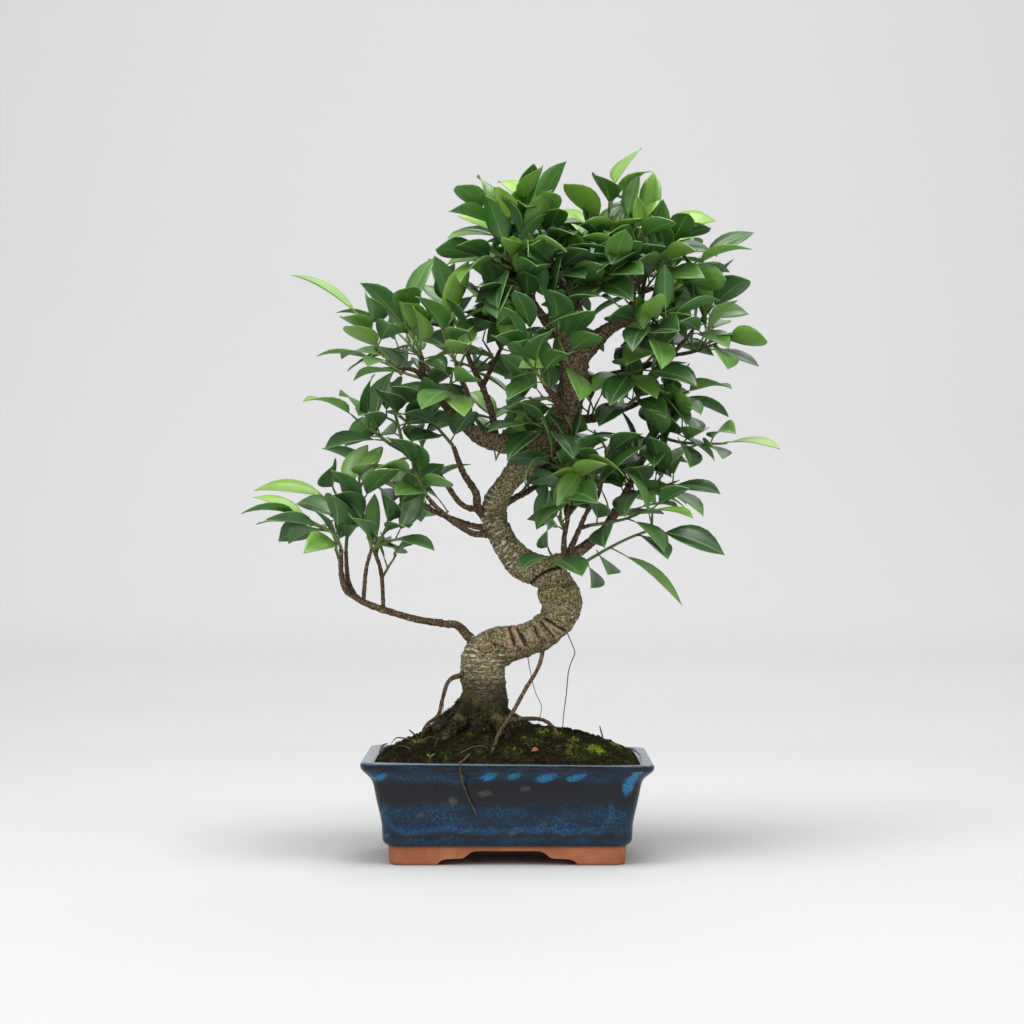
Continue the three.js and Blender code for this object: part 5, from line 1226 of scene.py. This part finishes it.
inner_stems, inner_leaves = [], []
for _ in range(INNER_TRIES):
    start, aim = rng.choice(inner_places)
    turn = rng.uniform(0, math.tau)
    side = aim.orthogonal().normalized()
    side = side * math.cos(turn) + aim.cross(side) * math.sin(turn)
    way = (side + aim * rng.uniform(0.2, 0.9) + UP * rng.uniform(0, 0.6)).normalized()
    stem_end = start + way * rng.uniform(10, 24)
    fresh = []
    for index in range(LEAVES_ON_INNER_SHOOT):
        around = index * GOLDEN_ANGLE + rng.uniform(-0.4, 0.4) + turn
        out = way.orthogonal().normalized()
        out = out * math.cos(around) + way.cross(out) * math.sin(around)
        lead = (out + way * rng.uniform(0.3, 1.1) + UP * rng.uniform(-0.1, 0.35)).normalized()
        length = rng.uniform(*INNER_LENGTH)
        base = start.lerp(stem_end, (index + 1) / LEAVES_ON_INNER_SHOOT)
        end = base + lead * length
        end.y = min(end.y, REAR_LIMIT)
        middle = base + lead * length * 0.62
        shown = [base + lead * length * share for share in (0.45, 0.75, 1.0)]
        if (any(outline.find(as_seen(point))[2] > OUTLINE_REACH for point in shown)
                or any((middle - other).length < ELBOW_ROOM for other in middles)
                or left_out(as_seen(middle), lead, middle.y < start.y - 4)):
            continue
        across = lead.cross(UP).normalized()
        across = Matrix.Rotation(rng.gauss(0, 0.55), 3, lead) @ across
        up = across.cross(lead)
        if up.z < 0:
            across, up = -across, -up
        fresh.append({"base": base, "end": end, "across": across, "up": up, "length": length,
                      "width": length * LEAF_SLIMNESS * rng.uniform(0.88, 1.06),
                      "bow": rng.uniform(0.02, 0.1),
                      "tone": rng.choice(INNER_TONES) + rng.uniform(-0.04, 0.04)})
        middles.append(middle)
    if len(fresh) < 2:
        del middles[len(middles) - len(fresh):]
        continue
    inner_stems.append([start, start.lerp(stem_end, 0.5) + UP * 0.6, stem_end])
    inner_leaves += fresh
    if len(inner_stems) == INNER_SHOOTS:
        break

for part in range(INNER_PIECES):
    leafy_piece("inner_leaves_%d" % (part + 1), None,
                [(*curve_through(points, INNER_STEM_RADII, 5), 6, 0.4)
                 for points in inner_stems[part::INNER_PIECES]],
                inner_leaves[part::INNER_PIECES], LEAFY, rng)

# ---- Soil ----
# Dark, crumbly earth fills the pot inside its wall and rises in a mound to the trunk's base. The body goes
# down to the pot's floor; its top is uneven, and pale grit and crumbs lie on it between the moss.
SOIL_EDGE, SOIL_RISE, RIM_HALF = 71, 22, 102.7
SOIL_WALL = [  # half length, height
    (79.4, 17.4), (81.8, 22), (84.4, 40), (87.4, 60), (91.0, 67), (92.6, 70.4),
]
SOIL_RINGS = 44
SOIL_SIDE_STEPS = 40
CRUMBS, CRUMB_SEED = 1100, 23
CRUMB_SIZES = (0.5, 0.7, 0.9, 1.3, 1.9)
LOWEST_TOP = 69            # what lies below this height is the soil's side and not its top


def mound_height(x, y):
    along_x = min(1, abs(x) / (RIM_HALF - 11))
    along_y = min(1, abs(y) / (RIM_HALF - DEPTH_LESS - 11))
    return SOIL_EDGE + SOIL_RISE * (1 - along_x ** 3) * (1 - along_y ** 3) * (1 - 0.1 * x / RIM_HALF)


soil_rings = [pot_ring(half, z, INSIDE_CORNER_RADIUS, SOIL_SIDE_STEPS) for half, z in SOIL_WALL]
for ring in range(1, SOIL_RINGS):
    scale = 1 - (ring / SOIL_RINGS) ** 0.9
    layer = []
    for point in pot_ring(SOIL_WALL[-1][0], 0, INSIDE_CORNER_RADIUS, SOIL_SIDE_STEPS):
        x, y, _ = (point - POT_MIDDLE) / MM * scale
        crumble = 1.3 * noise.fractal(Vector((x, y, 0)) / 9, 1.0, 2.0, 4) * (1 - scale ** 6)
        layer.append(place(x, y, mound_height(x, y) - 0.6 + crumble))
    soil_rings.append(layer)
soil = object_from(ringed_body(soil_rings), "soil_mound")

earth, tree, skin = new_material("dark_earth")
spot = millimetres(tree)
crumbs = noise_at(spot, 2.2, 4, 0.7)
hue = ramp(crumbs, [(0.32, (0.006, 0.004, 0.002)), (0.55, (0.022, 0.015, 0.008)),
                    (0.72, (0.06, 0.042, 0.022))])
hue = mixed(ramp(noise_at(spot, 16, 3, 0.6), [(0.42, 0.0), (0.62, 0.75)]), hue, (0.016, 0.020, 0.004))
dress(skin, hue, 0.95, 0.08, bump=(1.0, 1.6, crumbs))
fit(soil, "soil", "soil", earth)

soil_finder = BVHTree.FromObject(soil, bpy.context.evaluated_depsgraph_get())


def ground_below(x, y):
    """The soil's top under a place in millimetres and the way it faces, or None for both outside the pot."""
    spot, normal, _, _ = soil_finder.ray_cast(place(x, y, 200), -UP)
    return (None, None) if spot is None or (spot.z - POT_MIDDLE.z) / MM < LOWEST_TOP else (spot, normal)


def ground_seen(x, z):
    """Where the line of sight through x, z in the trunk's plane meets the soil."""
    spot, _, _, _ = soil_finder.ray_cast(camera.location, (place(x, 0, z) - camera.location).normalized())
    return Vector((x, 0, z)) if spot is None else (spot - POT_MIDDLE) / MM


def scattered(shape, matrices):
    """Copies a small closed shape by doubling it, and sets one copy at each matrix."""
    copy = shape.verts.layers.int.new("copy")
    made = 1
    while made < len(matrices):
        verts = [vert for vert in shape.verts if vert[copy] < len(matrices) - made]
        faces = {face for vert in verts for face in vert.link_faces}
        edges = {edge for face in faces for edge in face.edges}
        for twin in bmesh.ops.duplicate(shape, geom=[*verts, *edges, *faces])["geom"]:
            if isinstance(twin, bmesh.types.BMVert):
                twin[copy] += made
        made += min(made, len(matrices) - made)
    for vert in shape.verts:
        vert.co = matrices[vert[copy]] @ vert.co


crumb_shape = bmesh.new()
bmesh.ops.create_icosphere(crumb_shape, subdivisions=1, radius=1)
rng = random.Random(CRUMB_SEED)
for vert in crumb_shape.verts:
    vert.co *= rng.uniform(0.72, 1.2)
crumb_spots = []
for _ in range(CRUMBS):
    spot, normal = ground_below(rng.uniform(-90, 90), rng.uniform(-64, 64))
    if spot is None:
        continue
    size = rng.choice(CRUMB_SIZES) * MM
    turn = Matrix.Rotation(rng.uniform(0, 6.3), 4, "Z") @ Matrix.Rotation(rng.uniform(0, 3), 4, "X")
    crumb_spots.append(Matrix.Translation(spot + normal * size * 0.3) @ turn @ Matrix.Scale(size, 4))
scattered(crumb_shape, crumb_spots)
fit(object_from(crumb_shape, "soil_crumbs"), "soil", "soil", earth)

# ---- Moss ----
# Moss covers the mound and climbs the swollen base and its roots: short pointed shoots, mostly a dark
# brown green, bright where it is young, and thin where bare earth shows. It grows straight off the surface.
MOSS_SHOOTS = 33000
TRUNK_MOSS_SHOOTS = 12000
MOSS_SEED = 41
MOSSY_HEIGHTS = (70, 122)  # on the trunk and its roots
MOSSY_WOOD = 3.2           # and only on limbs of more than this radius
BRIGHT_PATCHES = [  # where the patch is seen, its radius, how bright
    (28, 89, 9, 1.0), (37, 87, 7, 0.8), (50, 82, 8, 0.75), (58, 77, 9, 0.8), (66, 74, 7, 0.7),
    (76, 79, 6, 0.5), (86, 75, 6, 0.75), (20, 80, 6, 0.5), (14, 84, 5, 0.55), (-12, 79, 6, 0.45),
    (46, 73, 7, 0.6), (8, 75, 6, 0.5), (-56, 70, 3, 0.8), (-62, 82, 6, 0.35), (-20, 73, 6, 0.35),
]
HIDDEN_PATCHES = [  # and behind the trunk: x, y, the radius, how bright
    (50, 40, 14, 0.7), (-40, 45, 12, 0.6), (0, 52, 10, 0.8), (-75, 20, 10, 0.6), (78, 5, 9, 0.6),
    (20, 30, 9, 0.5), (-62, -30, 8, 0.4),
]
patches = [(ground_seen(x, z), radius, bright) for x, z, radius, bright in BRIGHT_PATCHES]
patches += [(Vector((x, y, 0)), radius, bright) for x, y, radius, bright in HIDDEN_PATCHES]


def moss_tone(spot):
    local = (spot - POT_MIDDLE) / MM
    tone = 0.10 + 0.5 * noise.noise(local / 12) + 0.5 * noise.noise(local / 3.5)
    for middle, radius, bright in patches:
        gap = math.hypot(local.x - middle.x, (local.y - middle.y) * 0.6)
        tone += bright * max(0, 1 - gap / radius)
    return min(1, max(0, tone))


def moss_piece(name, spots, rng):
    """Pointed shoots on spots with their normals: three faces each and a base, leaning a little."""
    shape = bmesh.new()
    bmesh.ops.create_cone(shape, cap_ends=True, segments=3, radius1=1, radius2=0, depth=1)
    matrices, tones = [], []
    for spot, normal, size in spots:
        tall = size * rng.uniform(1.0, 3.2) * MM
        wide = size * rng.uniform(0.34, 0.62) * MM
        lean = (normal + Vector([rng.gauss(0, 0.38) for _ in range(3)])).normalized()
        turn = lean.to_track_quat("Z", "Y").to_matrix().to_4x4() @ Matrix.Rotation(rng.uniform(0, 2), 4, "Z")
        matrices.append(Matrix.Translation(spot + lean * tall * 0.42) @ turn
                        @ Matrix.Diagonal((wide, wide, tall, 1)))
        tones.append(min(1, max(0, moss_tone(spot) + rng.gauss(0, 0.09))))
    scattered(shape, matrices)
    tone_layer = shape.verts.layers.float.new("tone")
    copy = shape.verts.layers.int["copy"]
    for vert in shape.verts:
        vert[tone_layer] = tones[vert[copy]]
    fit(object_from(shape, name), "soil", "soil", moss_green)


moss_green, tree, skin = new_material("moss_green")
tone = node(tree, "Attribute", attribute_name="tone").outputs["Fac"]
dress(skin, ramp(tone, [(0.0, (0.010, 0.008, 0.003)), (0.25, (0.020, 0.022, 0.004)),
                        (0.45, (0.046, 0.052, 0.006)), (0.7, (0.092, 0.122, 0.010)),
                        (1.0, (0.21, 0.29, 0.018))]), 0.8, 0.1)

rng = random.Random(MOSS_SEED)
spots = []
while len(spots) < MOSS_SHOOTS:
    x, y = rng.uniform(-91, 91), rng.uniform(-65, 65)
    spot, normal = ground_below(x, y)
    if spot is None:
        continue
    cover = noise.noise(Vector((x, y, 5)) / 11) + 0.5 * noise.noise(Vector((x, y, 9)) / 4)
    if cover < rng.uniform(-0.75, -0.15):
        continue
    spots.append((spot, normal, 0.62 + 0.45 * max(0, cover) + 0.25 * (moss_tone(spot) > 0.6)))
moss_piece("moss_on_soil", spots, rng)

spots = []
low_faces = [face for face in trunk.data.polygons
             if MOSSY_HEIGHTS[0] < (face.center.z - POT_MIDDLE.z) / MM < MOSSY_HEIGHTS[1]
             and grain_at(face.center)[1] > MOSSY_WOOD]
while len(spots) < TRUNK_MOSS_SHOOTS:
    face = rng.choice(low_faces)
    local = (face.center - POT_MIDDLE) / MM
    over_soil = local.z - mound_height(local.x, local.y)
    cover = noise.noise(local / 9 + Vector((2, 7, 1))) * 1.2 + noise.noise(local / 3) * 0.5
    if over_soil < -1 or cover < rng.uniform(-0.8, -0.1) + max(0, over_soil) / 20:
        continue
    jitter = Vector([rng.uniform(-0.6, 0.6) * MM for _ in range(3)])
    spots.append((face.center + jitter - face.normal * 0.3 * MM, face.normal, rng.uniform(0.5, 0.85)))
moss_piece("moss_on_bark", spots, rng)

# ---- Fine roots, stalks and litter ----
# Thin roots hang from the trunk or creep over the moss, one droops over the front of the pot, and a few
# dead stalks, a fallen leaf and a seedling stand in it. A hanging root's rows are a limb's: x, z, y, radius.
HANGING_ROOTS = [
    [(14, 148, -4, 0.45), (15.5, 138, -8, 0.35), (17.5, 128, -11, 0.3), (20, 118, -13, 0.3),
     (24.5, 108, -15, 0.28), (24, 102, -17, 0.28), (22.5, 95, -19, 0.25)],
    [(42, 163, -2, 0.5), (45.5, 155, -5, 0.42), (48, 149, -7, 0.4), (48.5, 145, -8, 0.42),
     (46, 139, -9, 0.38), (44, 132, -9, 0.38), (43.2, 124, -9, 0.4), (42, 112, -10, 0.36),
     (40.5, 101, -11, 0.36), (39.5, 86, -12, 0.3)],
    [(-45.5, 121, -10, 0.4), (-46, 112, -16, 0.3), (-46.5, 103, -20, 0.28), (-47, 92, -24, 0.25)],
    [(-51, 101, -14, 0.45), (-52, 95, -18, 0.3), (-52.5, 84, -22, 0.25)],
]
CREEPING_ROOTS = [  # where they are seen: x, z, and the radius
    [(0, 103, 0.55), (4, 101.5, 0.5), (8, 99, 0.45), (13, 95, 0.4), (18, 92, 0.3)],
    [(-42, 91, 0.9), (-45, 88, 0.8), (-49, 84, 0.7), (-52, 79, 0.5), (-53, 76, 0.3)],
    [(-84, 82, 0.3), (-80, 83.5, 0.6), (-74, 83, 0.7), (-68, 81, 0.7), (-63, 77.5, 0.5)],
    [(-66, 79, 0.5), (-60, 82, 0.6), (-55, 84, 0.6), (-48, 84.5, 0.5)],
    [(-84, 74.5, 0.4), (-78, 77, 0.6), (-72, 76.5, 0.6), (-66, 73, 0.4)],
    [(-37, 73, 0.3), (-30, 74.5, 0.5), (-24, 77, 0.7), (-17, 77, 0.8), (-12, 76, 0.8)],
    [(10, 81, 0.3), (14, 79, 0.35), (19, 75, 0.3)],
    [(30, 79, 0.4), (38, 77.5, 0.5), (46, 78, 0.4), (53, 75.5, 0.3)],
    [(84, 76.5, 0.5), (89, 75.5, 0.55), (93, 73.5, 0.5), (96, 73.3, 0.4)],
    [(-92, 74, 0.35), (-88, 75.5, 0.5), (-83, 74.6, 0.4)],
]
DROOPING_ROOT = [  # x, y, z and radius, in place: from the soil over the lip and down the pot's front
    (-25, -52, 79, 0.9), (-28, -60, 76.6, 0.85), (-30.6, -67, 74.6, 0.8), (-32, -72.5, 74.2, 0.75),
    (-32.6, -76.2, 72.9, 0.7), (-32.5, -77.4, 70, 0.7), (-32.1, -76.9, 66, 0.7), (-31.2, -74.4, 60.5, 0.65),
    (-29.3, -71.9, 55.3, 0.65), (-27.4, -70.1, 50, 0.6), (-25.3, -68.6, 45.1, 0.5), (-22, -67.6, 38.4, 0.35),
    (-21.4, -67.2, 35.6, 0.2),
]
STALKS = [  # where the stalk is seen from its foot up, and its radius
    [(68, 82, 0.8), (68.5, 86, 0.7), (67.4, 90, 0.6), (66.6, 93.5, 0.4)],
    [(-63, 84.5, 0.6), (-67, 87, 0.7), (-71, 90.5, 0.5)],
    [(-92.5, 76, 0.5), (-90, 79.5, 0.5), (-86.5, 80.5, 0.4)],
    [(-8, 84, 0.3), (-7, 90, 0.25), (-7.6, 95, 0.2)],
]
CREEPING_SHARE = 0.85      # of the radius that shows, the rest lies in the moss
FALLEN_LEAF = (19.5, 73.5)
SEEDLING = (-56, 70)
SEEDLING_LEAVES = [  # way round, length, tone
    (0.3, 4.6, 0.95), (2.2, 4.0, 1.0), (4.1, 4.4, 0.9), (5.4, 3.2, 1.0),
]
root_shape = bmesh.new()
for rows in HANGING_ROOTS:
    limb_body(root_shape, *limb_curve(rows, 2.5), 6)
hanging_count = len(root_shape.verts)
for rows in CREEPING_ROOTS:
    spots = [ground_seen(x, z) + UP * 1.2 for x, z, _ in rows]
    spots[0].z -= 2.5
    spots[-1].z -= 2.5
    limb_body(root_shape, *curve_through(spots, [row[2] * CREEPING_SHARE for row in rows], 2.0), 6)
drooping = [Vector(row[:3]) for row in DROOPING_ROOT]
limb_body(root_shape, *curve_through(drooping, [row[3] for row in DROOPING_ROOT], 2), 8)
for rows in STALKS:
    foot = ground_seen(*rows[0][:2])
    spots = [foot - UP * 2] + [seen(x, z, foot.y) for x, z, _ in rows[1:]]
    limb_body(root_shape, *curve_through(spots, [row[2] for row in rows], 1.5), 6)
fine_roots = object_from(root_shape, "fine_roots")
marks = fine_roots.data.attributes.new("thread", "FLOAT", "POINT")
for vert in fine_roots.data.vertices:
    marks.data[vert.index].value = float(vert.index < hanging_count)

root_skin, tree, skin = new_material("thin_root")
spot = millimetres(tree)
hue = ramp(noise_at(spot, 6, 3, 0.6), [(0.3, (0.020, 0.012, 0.006)), (0.5, (0.058, 0.031, 0.016)),
                                       (0.7, (0.14, 0.072, 0.038))])
hue = mixed(node(tree, "Attribute", attribute_name="thread").outputs["Fac"], hue, (0.022, 0.018, 0.014))
dress(skin, hue, 0.75, bump=(0.6, 0.3, noise_at(spot, 0.8, 2)))
fit(fine_roots, "bark", "tree_wood", root_skin)

dead_skin, tree, skin = new_material("dead_leaf")
blotches = noise_at(millimetres(tree), 1.6, 3, 0.6)
dress(skin, ramp(blotches, [(0.35, (0.17, 0.035, 0.012)), (0.65, (0.30, 0.095, 0.035))]), 0.6)
spot = ground_seen(*FALLEN_LEAF)
leafy_piece("fallen_leaf", "soil", [], [
    {"base": spot + Vector((-3.4, 0, 1.2)), "end": spot + Vector((3.0, -0.7, 2.4)), "length": 6.8,
     "across": Vector((0.1, 0.75, 0.65)).normalized(), "up": Vector((-0.2, -0.66, 0.72)).normalized(),
     "width": 4.4, "bow": 0.16, "tone": 0.5, "small": 0.35}], [dead_skin] * 3, rng)
spot = ground_seen(*SEEDLING)
tiny_leaves = []
for turn, tall, tone in SEEDLING_LEAVES:
    way = Vector((math.cos(turn), math.sin(turn) * 0.7, 0.75)).normalized()
    across = way.cross(UP).normalized()
    tiny_leaves.append({"base": spot - UP * 0.5, "end": spot + way * tall, "across": across,
                        "up": across.cross(way), "length": tall, "width": tall * 0.55, "bow": 0.08,
                        "tone": tone, "small": 0.3})
leafy_piece("seedling", "soil", [], tiny_leaves, LEAFY, rng)
